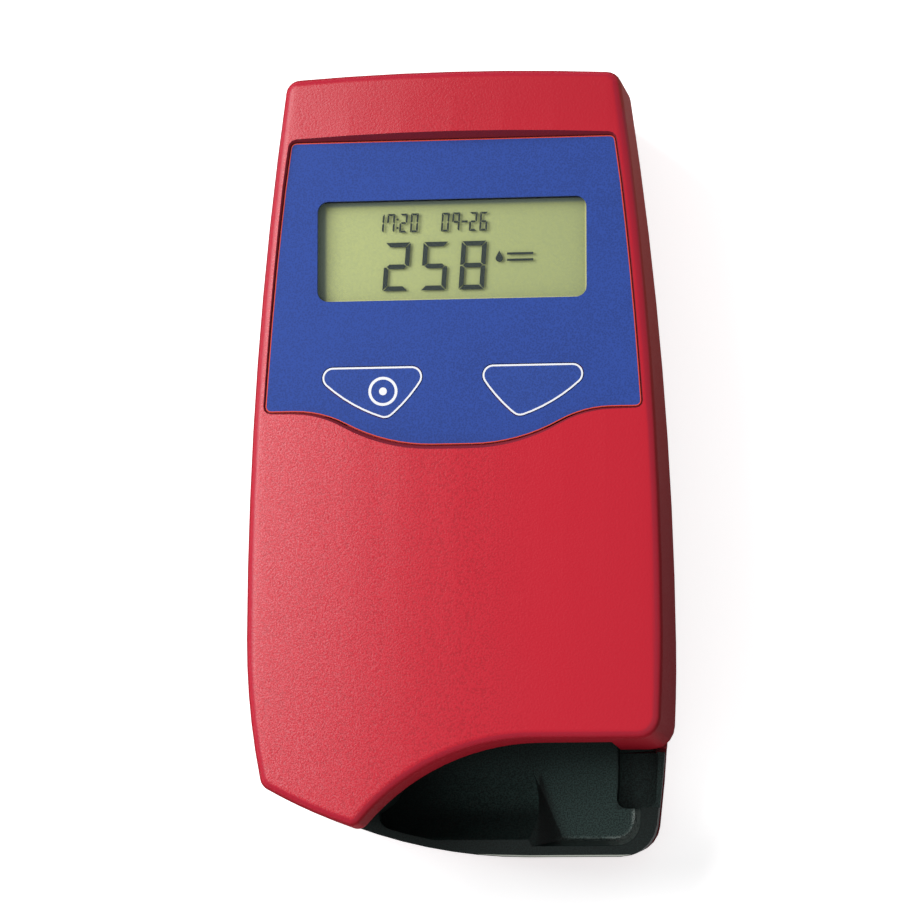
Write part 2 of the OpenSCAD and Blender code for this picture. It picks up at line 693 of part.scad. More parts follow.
module display_frame() {
    difference() {
        box_at(disp, glass_w + 2 * frame_rim, glass_h + 2 * frame_rim, board_z + board_t, glass_z);
        box_at(disp, glass_w + 0.3, glass_h + 0.3, frame_shelf, glass_z + 1);
        box_at(disp, glass_w - 4, glass_h + 0.3, board_z, frame_shelf - 1.2);
        for (s = [-1, 1]) box_at([disp.x, disp.y + s * strip_y], glass_w - 4.4, 2.4, board_z, glass_z);
    }
}
module contact_strips() {
    for (s = [-1, 1]) box_at([disp.x, disp.y + s * strip_y], glass_w - 5, 1.8, board_z + board_t, frame_top);
}
// Seven-segment figures: mitred bars round the edge, a hexagon in the middle.
// on: [top, upper right, lower right, bottom, lower left, upper left, middle]
function upside(pts, h) = [for (p = pts) [p.x, h - p.y]];
function across(pts, w) = [for (p = pts) [w - p.x, p.y]];
module digit(on, w, h, t) {
    g = t * 0.13;
    m = h / 2;
    cap = [[g, h], [w - g, h], [w - t - g, h - t], [t + g, h - t]];
    side = [[0, h - g], [0, m + g], [t / 2, m + g], [t, m + t / 2 + g], [t, h - t - g]];
    middle = [[t / 2 + g, m], [t + g, m + t / 2], [w - t - g, m + t / 2],
              [w - t / 2 - g, m], [w - t - g, m - t / 2], [t + g, m - t / 2]];
    bars = [cap, across(side, w), upside(across(side, w), h), upside(cap, h),
            upside(side, h), side, middle];
    multmatrix([[1, tan(digit_slant), 0, 0], [0, 1, 0, 0], [0, 0, 1, 0], [0, 0, 0, 1]])
        for (i = [0 : 6]) if (on[i]) polygon(bars[i]);
}
figures = [
    [1, 1, 1, 1, 1, 1, 0], [0, 1, 1, 0, 0, 0, 0], [1, 1, 0, 1, 1, 0, 1], [1, 1, 1, 1, 0, 0, 1],
    [0, 1, 1, 0, 0, 1, 1], [1, 0, 1, 1, 0, 1, 1], [1, 0, 1, 1, 1, 1, 1], [1, 1, 1, 0, 0, 1, 0],
    [1, 1, 1, 1, 1, 1, 1], [1, 1, 1, 0, 0, 1, 1]
];
big_marks = [[2, -14.74], [5, -6.87], [8, 1]];
small_marks = [[1, -16.1], [7, -13.9], [2, -11.3], [0, -9.05],
               [0, -2.65], [9, -0.45], [2, 3.1], [6, 5.25]];
module display_segments() {
    translate([disp.x + 0.2, disp.y, glass_z - glass_t - segment_t]) linear_extrude(segment_t) {
        for (m = big_marks) translate([m[1], -8.1]) digit(figures[m[0]], 5.2, digit_h, 0.95);
        for (m = small_marks) translate([m[1], 4]) digit(figures[m[0]], 1.6, small_digit_h, 0.39);
        for (y = [4.96, 6.73]) translate([-11.6, y]) circle(d = 0.45, $fn = 12);
        translate([1.66, 5.8]) square([1.24, 0.39]);
        // a plain mark where the unit stands: a drop and two bars
        translate([9.4, -1.8]) {
            circle(d = 1.5, $fn = 20);
            polygon([[-0.66, 0.35], [0, 1.6], [0.66, 0.35]]);
        }
        for (y = [-2.4, -1.1]) translate([11, y]) square([5.4, 0.45]);
    }
}

// ---- electronics --------------------------------------------------------
module main_board() {
    difference() {
        slab(-board_w / 2, board_w / 2, board_y0, board_y1, board_z, board_z + board_t);
        for (p = board_xy) rod(p, 2.4, board_z - 1, board_z + board_t + 1);
    }
}
module board_screws() {
    for (p = board_xy) {
        rod(p, 3.8, board_z - 1.5, board_z - e);
        rod(p, 2, board_z - 1, pilot_top - 0.4);
    }
}
module processor_chip() {
    c = [-2, end_high - 48];
    box_at(c, 12, 12, board_z - 1.7, board_z - 0.2);
    for (i = [-5 : 5], s = [-1, 1]) box_at(c + [i, s * 6.4], 0.35, 1.2, board_z - 0.6, board_z);
}
module buzzer() {
    c = [board_w / 2 - 14.5, end_high - 28];
    difference() {
        rod(c, 12, board_z - 5, board_z);
        rod(c, 2, board_z - 6, board_z - 4);
    }
}
module power_socket() {
    x = sockets_x[0][0];
    z = board_z - seat - socket_h / 2;
    difference() {
        slab(x - 4.7, x + 4.7, board_y1 - 7, end_high - 3, board_z - seat - socket_h, board_z - e);
        translate([x, end_high - 2, z]) rotate([90, 0, 0]) cylinder(d = dc_bore, h = 9.5);
    }
    translate([x, end_high - 4.4, z]) rotate([90, 0, 0]) cylinder(d = dc_pin, h = 8.5);
}
module data_socket() {
    x = sockets_x[1][0];
    z = board_z - seat - socket_h / 2;
    difference() {
        slab(x - data_w / 2 - 1, x + data_w / 2 + 1, board_y1 - 7, end_high - 3,
             board_z - seat - socket_h, board_z - e);
        slab(x - data_w / 2, x + data_w / 2, end_high - 12, end_high, z - data_h / 2, z + data_h / 2);
    }
}

// ---- cuvette arm --------------------------------------------------------
arm_right = [[face_half - right_low_radius, y_wide], right_low_radius - arm_inset, 1];
function arm_outline(d = 0) = chain(
    [right_up, top_end, left_up, left_down, low_sweep, low_line, arm_right],
    [[top_corner_r, 1], [top_corner_r, 1], [0, 0, 180], [left_corner_r, 1],
     [0, 0, 270], [right_corner_r, 1], [0, 0, 0]],
    [4, 4, 4, 4, 10, 1, 7], d);
function polar(r, a) = pivot + r * [cos(a), sin(a)];
function sector(r0, r1, a0, a1, n = 14) = concat(
    [for (i = [0 : n]) polar(r0, a0 + (a1 - a0) * i / n)],
    [for (i = [n : -1 : 0]) polar(r1, a0 + (a1 - a0) * i / n)]);
// Ground plan of the tray: under the cover it ends at the shield's outer arc,
// and right of the hub's reach at the edge of the cut-out. A web joins the hub.
module tray_limit() {
    polygon(sector(1, hub_r + 3, -40, -5, 4));
    intersection() {
        translate(cut_c) circle(r = shield_r, $fn = 96);
        translate(pivot) circle(r = channel_r - 0.5, $fn = 96);
    }
    translate([cut_join, -big]) square([big, big + cut_y - skirt_run - arm_gap]);
}
module scoop() {
    intersection() {
        translate([0, 0, pocket_z]) linear_extrude(big) offset(r = 3) offset(delta = -3) intersection() {
            polygon(arm_outline(rim_w));
            translate([pivot.x + 5.2, -big]) square([cut_join + 0.3 - pivot.x, 2 * big]);
        }
        union() {
            translate([0, scoop_y, pocket_z + scoop_r]) rotate([0, 90, 0])
                cylinder(r = scoop_r, h = big, center = true, $fn = 96);
            slab(-big, big, scoop_y, big, pocket_z, big);
        }
    }
}
function pocket_ring(run, in, r) =
    let (x0 = cut_join + 2.4 - run, x1 = face_half - 7.6 - in, y0 = end_low + 3.3 + in,
         y1 = end_low + 30, z = pocket_z + run)
    concat([for (i = [0 : 6]) let (a = -90 + 15 * i) [x1 - r + r * cos(a), y0 + r + r * sin(a), z]],
        [[x1, y1, z], [x0 - 7, y1, z], [x0 - 6.2, y1 - 12.5, z], [x0, y0, z]]);
module finger_pocket() {
    stack([pocket_ring(0, 1.4, 3.6), pocket_ring(0.25, 0.7, 4.2), pocket_ring(0.9, 0.15, 4.8),
           pocket_ring(2, 0, 5), pocket_ring(6.5, -1.2, 5)]);
}
module tray() {
    difference() {
        intersection() {
            stack([at_z(arm_outline(0.8), arm_z), at_z(arm_outline(0), rim_z)]);
            linear_extrude(big) tray_limit();
        }
        scoop();
        finger_pocket();
    }
}
// Upright wall under the cover's edge, which keeps light out
module shield() {
    translate([0, 0, arm_z]) linear_extrude(hub_top - arm_z) intersection() {
        polygon(arm_outline(2));
        difference() {
            translate(cut_c) circle(r = shield_r, $fn = 96);
            translate(cut_c) circle(r = shield_r - shield_t, $fn = 96);
        }
        translate(pivot) circle(r = channel_r - 0.5, $fn = 96);
        translate([pivot.x, -big]) square(2 * big);
    }
}
// Notch in the tray and the channel that leads from it into the platform
module cuvette_way() {
    offset(r = 2.2) offset(delta = -2.2) difference() {
        union() {
            polygon([[28, end_low + notch_from_end], [notch_x - 0.7, end_low + notch_from_end],
                     [notch_x, cut_y - 0.8], [notch_x, cut_y], [28, cut_y]]);
            polygon(sector(channel_r - 2, channel_r + channel_w, -2, 20));
        }
        translate(pivot) circle(r = channel_r, $fn = 96);
    }
}
module cuvette_arm() {
    difference() {
        union() {
            tray();
            shield();
            rod(pivot, 2 * hub_r, arm_z, hub_top);
            prism(sector(36, platform_r, 3.5, 26), platform_z, pocket_z);
        }
        slab(deep_skirt_x - 0.9, big, end_low + notch_from_end, cut_y + 30, pocket_z, big);
        translate([0, 0, pocket_z - channel_depth]) linear_extrude(big) cuvette_way();
        // cuvette seat across the light path
        translate([pivot.x, pivot.y, pocket_z - 3]) rotate([0, 0, light_a])
            translate([light_r - 6, -3.2, 0]) cube([14, 6.4, big]);
        rod(light, light_d, 0, pocket_z + 1);
        rod(pivot, pivot_pin_d + 2 * pivot_play, 0, big);
    }
}
module arm_pivot_pin() {
    rod(pivot, pivot_pin_d, 1.5, pin_top);
}
module arm_washer() {
    difference() {
        rod(pivot, 8, arm_z - seat, arm_z);
        rod(pivot, pivot_pin_d + 0.1, 0, arm_z + 1);
    }
}
module arm_detent_spring() {
    rod(spring, 5, arm_z - 0.5, arm_z);
    slab(spring.x - 1.5, spring.x + 1.5, leaf_y + 0.4, spring.y, arm_z - 0.5, arm_z);
    slab(spring.x - 1.5, pivot.x + 1.5, leaf_y, leaf_y + 0.4, arm_z - 0.5, arm_z + 6);
    rod([pivot.x, leaf_y - 0.3], 1.8, arm_z + 0.5, arm_z + 6);
}
module arm_sensor() {
    c = [pivot.x - 13.4, pivot.y + 5.5];
    slab(c.x, c.x + 3.2, c.y, c.y + 6, floor_top, arm_z + 4);
    slab(c.x + 2.8, c.x + 3.6, c.y + 1, c.y + 2, arm_z + 1, arm_z + 3);
}

// ---- photometer ---------------------------------------------------------
module optics_fork() {
    x0 = optics_x - 23;
    difference() {
        union() {
            slab(x0 + 13, x0 + 33, optics_y - 18.9, optics_y, pocket_z + arm_gap, fork_top);
            slab(x0 + 13, x0 + 33, optics_y - 18.9, optics_y, platform_z - arm_gap - 2.2,
                 platform_z - arm_gap);
            slab(x0, x0 + 27.5, optics_y, optics_y + 2.9, floor_top + seat, fork_top);
            slab(x0, x0 + 27.5, optics_y, optics_y + 8.9, optics_z, optics_z + 2.5);
        }
        rod(light, 5.2, pocket_z, fork_top + 1);
        rod(light, 4.6, 0, pocket_z);
        for (p = optics_xy) rod(p, 2.2, 0, optics_z + 3);
    }
}
module lamp_board() {
    slab(optics_x - 9, optics_x + 9, optics_y - 17.9, optics_y - 1, fork_top, fork_top + 1.2);
}
module light_emitter() {
    rod(light, 5, fork_top - 6, fork_top);
}
module collimator_lens() {
    rod(light, 5.1, pocket_z + 3, pocket_z + 5);
}
module detector_board() {
    slab(optics_x - 8, optics_x + 8, optics_y - 17.9, optics_y - 1.6, floor_top + seat,
         platform_z - arm_gap - 2.3);
}
module light_detector() {
    rod(light, 4, platform_z - arm_gap - 2.3, platform_z - arm_gap - 0.5);
}
module optics_screws() {
    for (p = optics_xy) {
        rod(p, 3.8, optics_z + 2.5, optics_z + 4);
        rod(p, 1.7, floor_top + 0.5, optics_z + 3);
    }
}

color("crimson") top_cover();
color("firebrick") back_housing();
color("indianred") battery_door();
color("silver") housing_screws();
color("dimgray") rubber_feet();
color("silver") battery_contacts();
color("seagreen") battery_cell(0);  // battery_cell_1
color("seagreen") battery_cell(1);  // battery_cell_2
color("seagreen") battery_cell(2);  // battery_cell_3
color("seagreen") battery_cell(3);  // battery_cell_4
color("royalblue") front_panel();
color("steelblue") key_body(-1);  // left_key
color("steelblue") key_body(1);  // right_key
color("white") plunger(-1);  // left_plunger
color("white") plunger(1);  // right_plunger
color("dimgray") key_switch(-1);  // left_switch
color("dimgray") key_switch(1);  // right_switch
color("lightcyan") display_window();
color("honeydew") display_front_glass();
color("darkslategray") display_segments();
color("honeydew") display_rear_glass();
color("darkseagreen") display_reflector();
color("whitesmoke") display_frame();
color("slategray") contact_strips();
color("darkgreen") main_board();
color("silver") board_screws();
color("black") processor_chip();
color("black") buzzer();
color("black") power_socket();
color("silver") data_socket();
color("#333333") cuvette_arm();
color("silver") arm_pivot_pin();
color("goldenrod") arm_washer();
color("silver") arm_detent_spring();
color("black") arm_sensor();
color("dimgray") optics_fork();
color("darkgreen") lamp_board();
color("lightyellow") light_emitter();
color("lightcyan") collimator_lens();
color("darkgreen") detector_board();
color("black") light_detector();
color("silver") optics_screws();
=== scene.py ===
"""Looks of a bench-top blood glucose meter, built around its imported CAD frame."""

from __future__ import annotations

import json
import logging
import math
from collections.abc import Sequence
from dataclasses import dataclass, field
from enum import Enum

import bmesh
import bpy
from mathutils import Matrix, Vector

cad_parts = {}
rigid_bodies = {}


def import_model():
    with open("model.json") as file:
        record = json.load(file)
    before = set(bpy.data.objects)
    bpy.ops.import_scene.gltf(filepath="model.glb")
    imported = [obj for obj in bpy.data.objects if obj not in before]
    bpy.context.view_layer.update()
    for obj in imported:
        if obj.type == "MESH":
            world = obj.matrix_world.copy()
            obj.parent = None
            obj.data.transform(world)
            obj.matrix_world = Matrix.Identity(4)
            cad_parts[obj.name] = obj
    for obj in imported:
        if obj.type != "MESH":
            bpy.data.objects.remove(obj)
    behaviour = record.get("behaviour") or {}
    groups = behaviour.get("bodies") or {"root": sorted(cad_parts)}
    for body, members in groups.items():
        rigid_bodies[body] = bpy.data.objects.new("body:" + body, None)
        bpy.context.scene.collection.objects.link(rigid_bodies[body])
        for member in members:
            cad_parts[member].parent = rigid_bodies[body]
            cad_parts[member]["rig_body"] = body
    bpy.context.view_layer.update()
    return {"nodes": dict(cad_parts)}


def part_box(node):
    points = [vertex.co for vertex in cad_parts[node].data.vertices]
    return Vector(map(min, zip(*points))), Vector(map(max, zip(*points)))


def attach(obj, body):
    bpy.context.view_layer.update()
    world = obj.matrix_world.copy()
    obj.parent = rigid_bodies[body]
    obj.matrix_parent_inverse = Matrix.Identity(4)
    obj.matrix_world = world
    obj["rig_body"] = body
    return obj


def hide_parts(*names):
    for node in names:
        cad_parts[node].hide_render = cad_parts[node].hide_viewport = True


log = logging.getLogger("meter")

MM = 0.001
# Vertices and heights that lie this close together, in metres, are the same.
WELD = 1e-6
# The least cosine of half a corner's turn at which inset keeps its full point.
MITRE_LIMIT = 0.4

Colour = tuple[float, float, float]
Points = list[tuple[float, float]]
# The two values between which a soft step rises.
Span = tuple[float, float]

NO_LIGHT: Colour = (0.0, 0.0, 0.0)
FULL_LIGHT: Colour = (1.0, 1.0, 1.0)


def srgb(red: int, green: int, blue: int) -> Colour:
    """Return the linear colour of an 8-bit display colour.

    Args:
        red: The red level, from 0 to 255.
        green: The green level.
        blue: The blue level.

    Returns:
        The linear red, green and blue, from 0 to 1.
    """

    def linear(level: int) -> float:
        """Return one channel's linear level by the sRGB curve."""
        x = level / 255
        return x / 12.92 if x <= 0.04045 else ((x + 0.055) / 1.055) ** 2.4

    return linear(red), linear(green), linear(blue)


def scaled(colour: Colour, factor: float) -> Colour:
    """Return a colour times factor, with no channel above 1."""
    red, green, blue = (min(1.0, channel * factor) for channel in colour)
    return red, green, blue


# ---- shader maths ----------------------------------------------------------


class Signal:
    """A node's output socket on which shader maths is written as expressions."""

    def __init__(self, sheet: Sheet, socket: bpy.types.NodeSocket) -> None:
        """Wrap a socket of the sheet's node tree."""
        self.sheet = sheet
        self.socket = socket

    def _math(self, operation: str, *values: Signal | float) -> Signal:
        """Return the output of a Math node on the values."""
        settings = {"operation": operation}
        return self.sheet.node("ShaderNodeMath", settings, dict(enumerate(values)))[0]

    def __add__(self, other: Signal | float) -> Signal:
        """Return self + other."""
        return self._math("ADD", self, other)

    def __radd__(self, other: float) -> Signal:
        """Return other + self."""
        return self._math("ADD", other, self)

    def __sub__(self, other: Signal | float) -> Signal:
        """Return self - other."""
        return self._math("SUBTRACT", self, other)

    def __rsub__(self, other: float) -> Signal:
        """Return other - self."""
        return self._math("SUBTRACT", other, self)

    def __mul__(self, other: Signal | float) -> Signal:
        """Return self * other."""
        return self._math("MULTIPLY", self, other)

    def __rmul__(self, other: float) -> Signal:
        """Return other * self."""
        return self._math("MULTIPLY", other, self)

    def __truediv__(self, other: Signal | float) -> Signal:
        """Return self / other."""
        return self._math("DIVIDE", self, other)

    def __rtruediv__(self, other: float) -> Signal:
        """Return other / self."""
        return self._math("DIVIDE", other, self)

    def __pow__(self, power: float) -> Signal:
        """Return self ** power."""
        return self._math("POWER", self, power)

    def __rpow__(self, base: float) -> Signal:
        """Return base ** self."""
        return self._math("POWER", base, self)

    def over(self, floor: float) -> Signal:
        """Return how far self is above floor, or 0 below it."""
        return self._math("MAXIMUM", self - floor, 0.0)

    def either(self, other: Signal) -> Signal:
        """Return 1 where self or other is 1, and soft where they are soft."""
        return self + other - self * other

    def sway(self, amount: float, mean: float = 0.5) -> Signal:
        """Return how far self is from its mean, times amount."""
        return (self - mean) * amount

    def step(self, low: float, high: float) -> Signal:
        """Return 0 below low and 1 above high, with a soft rise between them.

        Args:
            low: The value at which the rise starts.
            high: The value at which the rise ends.

        Returns:
            The signal after a smoothed Map Range node.
        """
        settings = {"interpolation_type": "SMOOTHSTEP"}
        values = {"Value": self, "From Min": low, "From Max": high}
        return self.sheet.node("ShaderNodeMapRange", settings, values)[0]


class Sheet:
    """A material's node tree with one method that makes every node."""

    def __init__(self, name: str) -> None:
        """Make an empty material.

        Args:
            name: The material's name.
        """
        self.material = bpy.data.materials.new(name)
        self.material.use_nodes = True
        self.tree = self.material.node_tree
        self.tree.nodes.clear()
        self._place: tuple[Signal, Signal, Signal] | None = None

    def node(
        self,
        kind: str,
        settings: dict[str, object] | None = None,
        values: dict[str | int, object] | None = None,
    ) -> list[Signal]:
        """Make a node, set it up and fill or link its inputs.

        Args:
            kind: The node's type.
            settings: Its properties, set before its inputs.
            values: Its inputs by name or number, as values or signals.

        Returns:
            Its enabled outputs.
        """
        made = self.tree.nodes.new(kind)
        for name, setting in (settings or {}).items():
            setattr(made, name, setting)
        inputs = [s for s in made.inputs if s.enabled]
        for key, value in (values or {}).items():
            if isinstance(key, int):
                socket = inputs[key]
            else:
                socket = next(s for s in inputs if s.name == key)
            if isinstance(value, Signal):
                self.tree.links.new(value.socket, socket)
            elif socket.type == "RGBA":
                socket.default_value = (*value, 1.0)
            else:
                socket.default_value = value
        return [Signal(self, s) for s in made.outputs if s.enabled]

    def output(self, kind: str, name: str) -> Signal:
        """Return the output of the given name of a new node."""
        return next(s for s in self.node(kind) if s.socket.name == name)

    def place(self) -> Signal:
        """Return the position on the part, in metres."""
        return self.output("ShaderNodeTexCoord", "Object")

    def ray(self, kind: str) -> Signal:
        """Return 1 on rays of a kind, such as Camera or Glossy, else 0."""
        return self.output("ShaderNodeLightPath", f"Is {kind} Ray")

    def facing(self) -> list[Signal]:
        """Return how far the surface faces along x, y and z, from -1 to 1."""
        normal = self.output("ShaderNodeTexCoord", "Normal")
        return self.node("ShaderNodeSeparateXYZ", None, {0: normal})

    def xyz(self) -> tuple[Signal, Signal, Signal]:
        """Make the coordinates at the first call and keep them.

        Returns:
            The three coordinates on the part, in millimetres.
        """
        if self._place is None:
            x, y, z = self.node("ShaderNodeSeparateXYZ", None, {0: self.place()})
            self._place = (x / MM, y / MM, z / MM)
        return self._place

    def noise(self, size_mm: float, detail: float = 2.0) -> Signal:
        """Return fine noise whose features are about size_mm across."""
        values = {"Vector": self.place(), "Scale": 1 / (size_mm * MM), "Detail": detail}
        return self.node("ShaderNodeTexNoise", None, values)[0]

    def cells(self, size_mm: float) -> Signal:
        """Return the distance to the nearest point of a grain of size_mm."""
        values = {"Vector": self.place(), "Scale": 1 / (size_mm * MM)}
        return self.node("ShaderNodeTexVoronoi", None, values)[0]

    def mix(
        self, factor: Signal | float, low: Signal | Colour, high: Signal | Colour
    ) -> Signal:
        """Return the colour between low and high at factor."""
        values = {"Factor": factor, "A": low, "B": high}
        return self.node("ShaderNodeMix", {"data_type": "RGBA"}, values)[0]

    def blend(self, factor: Signal, low: Signal, high: Signal) -> Signal:
        """Return the shader between low and high at factor."""
        return self.node("ShaderNodeMixShader", None, {0: factor, 1: low, 2: high})[0]

    def bump(self, height: Signal, depth_mm: float) -> Signal:
        """Return the normal of a surface that rises depth_mm with height."""
        values = {"Height": height, "Distance": depth_mm * MM, "Strength": 1.0}
        return self.node("ShaderNodeBump", None, values)[0]

    def coat(self, **values: object) -> Signal:
        """Return a Principled BSDF.

        Args:
            values: Its inputs, with underscores for the spaces in their names.

        Returns:
            Its output.
        """
        inputs = {name.replace("_", " "): value for name, value in values.items()}
        return self.node("ShaderNodeBsdfPrincipled", None, inputs)[0]

    def close(self, coat: Signal) -> bpy.types.Material:
        """Return the finished material, with the coat as its surface."""
        self.node("ShaderNodeOutputMaterial", None, {"Surface": coat})
        return self.material

    def surface(self, **values: object) -> bpy.types.Material:
        """Return the finished material, with one Principled BSDF as its surface."""
        return self.close(self.coat(**values))


# ---- finishes --------------------------------------------------------------
# Sizes and places are in millimetres. A sway is how far a pattern moves the
# roughness, a share is how much of a colour is mixed in, and _x, _y, _z and
# _facing are spans along that coordinate or facing direction.


@dataclass(frozen=True)
class Grained:
    """Moulded plastic with a fine spark-eroded grain and slight mottling."""

    name: str
    colour: Colour
    roughness: float = 0.42
    grain_mm: float = 0.34
    depth_mm: float = 0.022
    mottle: float = 0.06
    gloss: float = 0.5
    broad_mm: float = 9.0
    grain_share: float = 0.6
    tones: Span = (0.3, 0.7)
    grain_sway: float = 0.16
    broad_sway: float = 0.08

    def make(self) -> bpy.types.Material:
        """Build the finish.

        Returns:
            The material.
        """
        sheet = Sheet(self.name)
        grain = sheet.noise(self.grain_mm, detail=3.0)
        broad = sheet.noise(self.broad_mm)
        pattern = grain * self.grain_share + broad * (1 - self.grain_share)
        dark = scaled(self.colour, 1 - self.mottle)
        light = scaled(self.colour, 1 + self.mottle)
        rough = self.roughness + grain.sway(self.grain_sway)
        return sheet.surface(
            Base_Color=sheet.mix(pattern.step(*self.tones), dark, light),
            Roughness=rough + broad.sway(self.broad_sway),
            Normal=sheet.bump(grain, self.depth_mm),
            Specular_IOR_Level=self.gloss,
        )


@dataclass(frozen=True)
class HousingRed:
    """Satin red of the housing, duller and darker on its walls than on its face.

    Painted shade darkens the face toward the display end and turns its rounded
    edge crimson. A painted highlight of fine flecks lies on its left side, and the
    grain's mottle is painted only there, where the sheen shows it. The walls facing
    right turn brown, with a painted haze toward the display end and painted shade
    toward the foot, and the walls of the panel's recess are painted paler as
    painted light.
    """

    name: str = "housing_red"
    face: Colour = srgb(205, 12, 42)
    wall: Colour = srgb(158, 16, 34)
    # spark: painted highlight, the colour of the flecks of sheen on the face's left
    # side
    spark: Colour = srgb(238, 132, 142)
    # edge: painted shade, the crimson of the face's rounded edge
    edge: Colour = srgb(178, 4, 46)
    # recess: painted light, the paler colour of the walls of the panel's recess
    recess: Colour = srgb(152, 48, 60)
    # painted haze toward the display end and painted shade toward the foot, on the
    # walls facing right
    right_painted_haze: Colour = srgb(142, 50, 46)
    right_painted_shade: Colour = srgb(116, 12, 22)
    gloss: float = 0.5
    wall_gloss: float = 0.08
    roughness: float = 0.36
    wall_roughness: float = 0.7
    grain_mm: float = 0.4
    broad_mm: float = 14.0
    fleck_mm: float = 0.24
    depth_mm: float = 0.05
    grain_sway: float = 0.16
    broad_sway: float = 0.06
    wall_sway: float = 0.2
    # dim: painted shade, the face's darker colour toward the display end and in the
    # grain mottle on the left
    dim: float = 0.8
    grain_tones: Span = (0.35, 0.55)
    fleck_tones: Span = (0.42, 0.72)
    face_facing: Span = (0.5, 0.92)
    flat_facing: Span = (0.9, 0.985)
    right_facing: Span = (0.4, 0.9)
    # real grain, whose mottle is painted only on the face's left, where the sheen shows
    # it: partly painted light
    sheen_grain_x: Span = (4.0, 20.0)
    # painted highlight: where the flecks of sheen lie and how they fade
    sparkle_x: Span = (-38.0, 6.0)
    sparkle_y: Span = (48.0, 76.0)
    sparkle_fade: float = 0.6
    fleck_share: float = 0.4
    # painted shade: where and how much the face darkens toward the display end
    top_y: Span = (46.0, 78.0)
    top_shade_share: float = 0.7
    edge_shade_share: float = 0.75
    right_shade_y: Span = (-30.0, 70.0)
    recess_z: Span = (39.4, 39.9)
    recess_foot_y: Span = (-4.0, 0.0)
    recess_head_y: Span = (70.0, 72.0)

    def make(self) -> bpy.types.Material:
        """Build the finish.

        Returns:
            The material.
        """
        sheet = Sheet(self.name)
        x, y, z = sheet.xyz()
        out_x, _, out_z = sheet.facing()
        grain = sheet.noise(self.grain_mm)
        broad = sheet.noise(self.broad_mm)
        relief = sheet.bump(grain, self.depth_mm)
        up = out_z.step(*self.face_facing)
        flat = out_z.step(*self.flat_facing)

        # dim is the colour of painted shade on the face
        dim = scaled(self.face, self.dim)
        # grain mottle painted only on the left of the face, where the sheen shows it
        deep = sheet.mix(x.step(*self.sheen_grain_x), dim, self.face)
        tone = sheet.mix(grain.step(*self.grain_tones), deep, self.face)
        # painted shade: the face darkens toward the display end
        tone = sheet.mix(y.step(*self.top_y) * self.top_shade_share, tone, dim)
        # painted shade: the rounded edge of the face turns crimson
        tone = sheet.mix((1 - flat) * self.edge_shade_share, tone, self.edge)
        # painted highlight: flecks of sheen on the face's left, fading toward the
        # display end
        fleck = sheet.noise(self.fleck_mm, detail=1.0).step(*self.fleck_tones)
        painted_sparkle = fleck * (1 - x.step(*self.sparkle_x))
        painted_sparkle = painted_sparkle * (1 - y.step(*self.sparkle_y) * self.sparkle_fade)
        painted_sparkle = painted_sparkle * flat * self.fleck_share

        # painted haze and painted shade on the walls facing right
        right = sheet.mix(y.step(*self.right_shade_y), self.right_painted_shade, self.right_painted_haze)
        side = sheet.mix(out_x.step(*self.right_facing), self.wall, right)
        # painted light: the walls of the panel's recess are painted paler
        recess_painted_light = z.step(*self.recess_z) * y.step(*self.recess_foot_y)
        recess_painted_light = recess_painted_light * (1 - y.step(*self.recess_head_y))
        side = sheet.mix(recess_painted_light, side, self.recess)

        rough = self.roughness + grain.sway(self.grain_sway)
        face = sheet.coat(
            Base_Color=sheet.mix(painted_sparkle, tone, self.spark),
            Roughness=rough + broad.sway(self.broad_sway),
            Normal=relief,
            Specular_IOR_Level=self.gloss,
        )
        wall = sheet.coat(
            Base_Color=sheet.mix(up, side, self.face),
            Roughness=self.wall_roughness + grain.sway(self.wall_sway),
            Normal=relief,
            Specular_IOR_Level=self.wall_gloss,
        )
        return sheet.close(sheet.blend(up, wall, face))


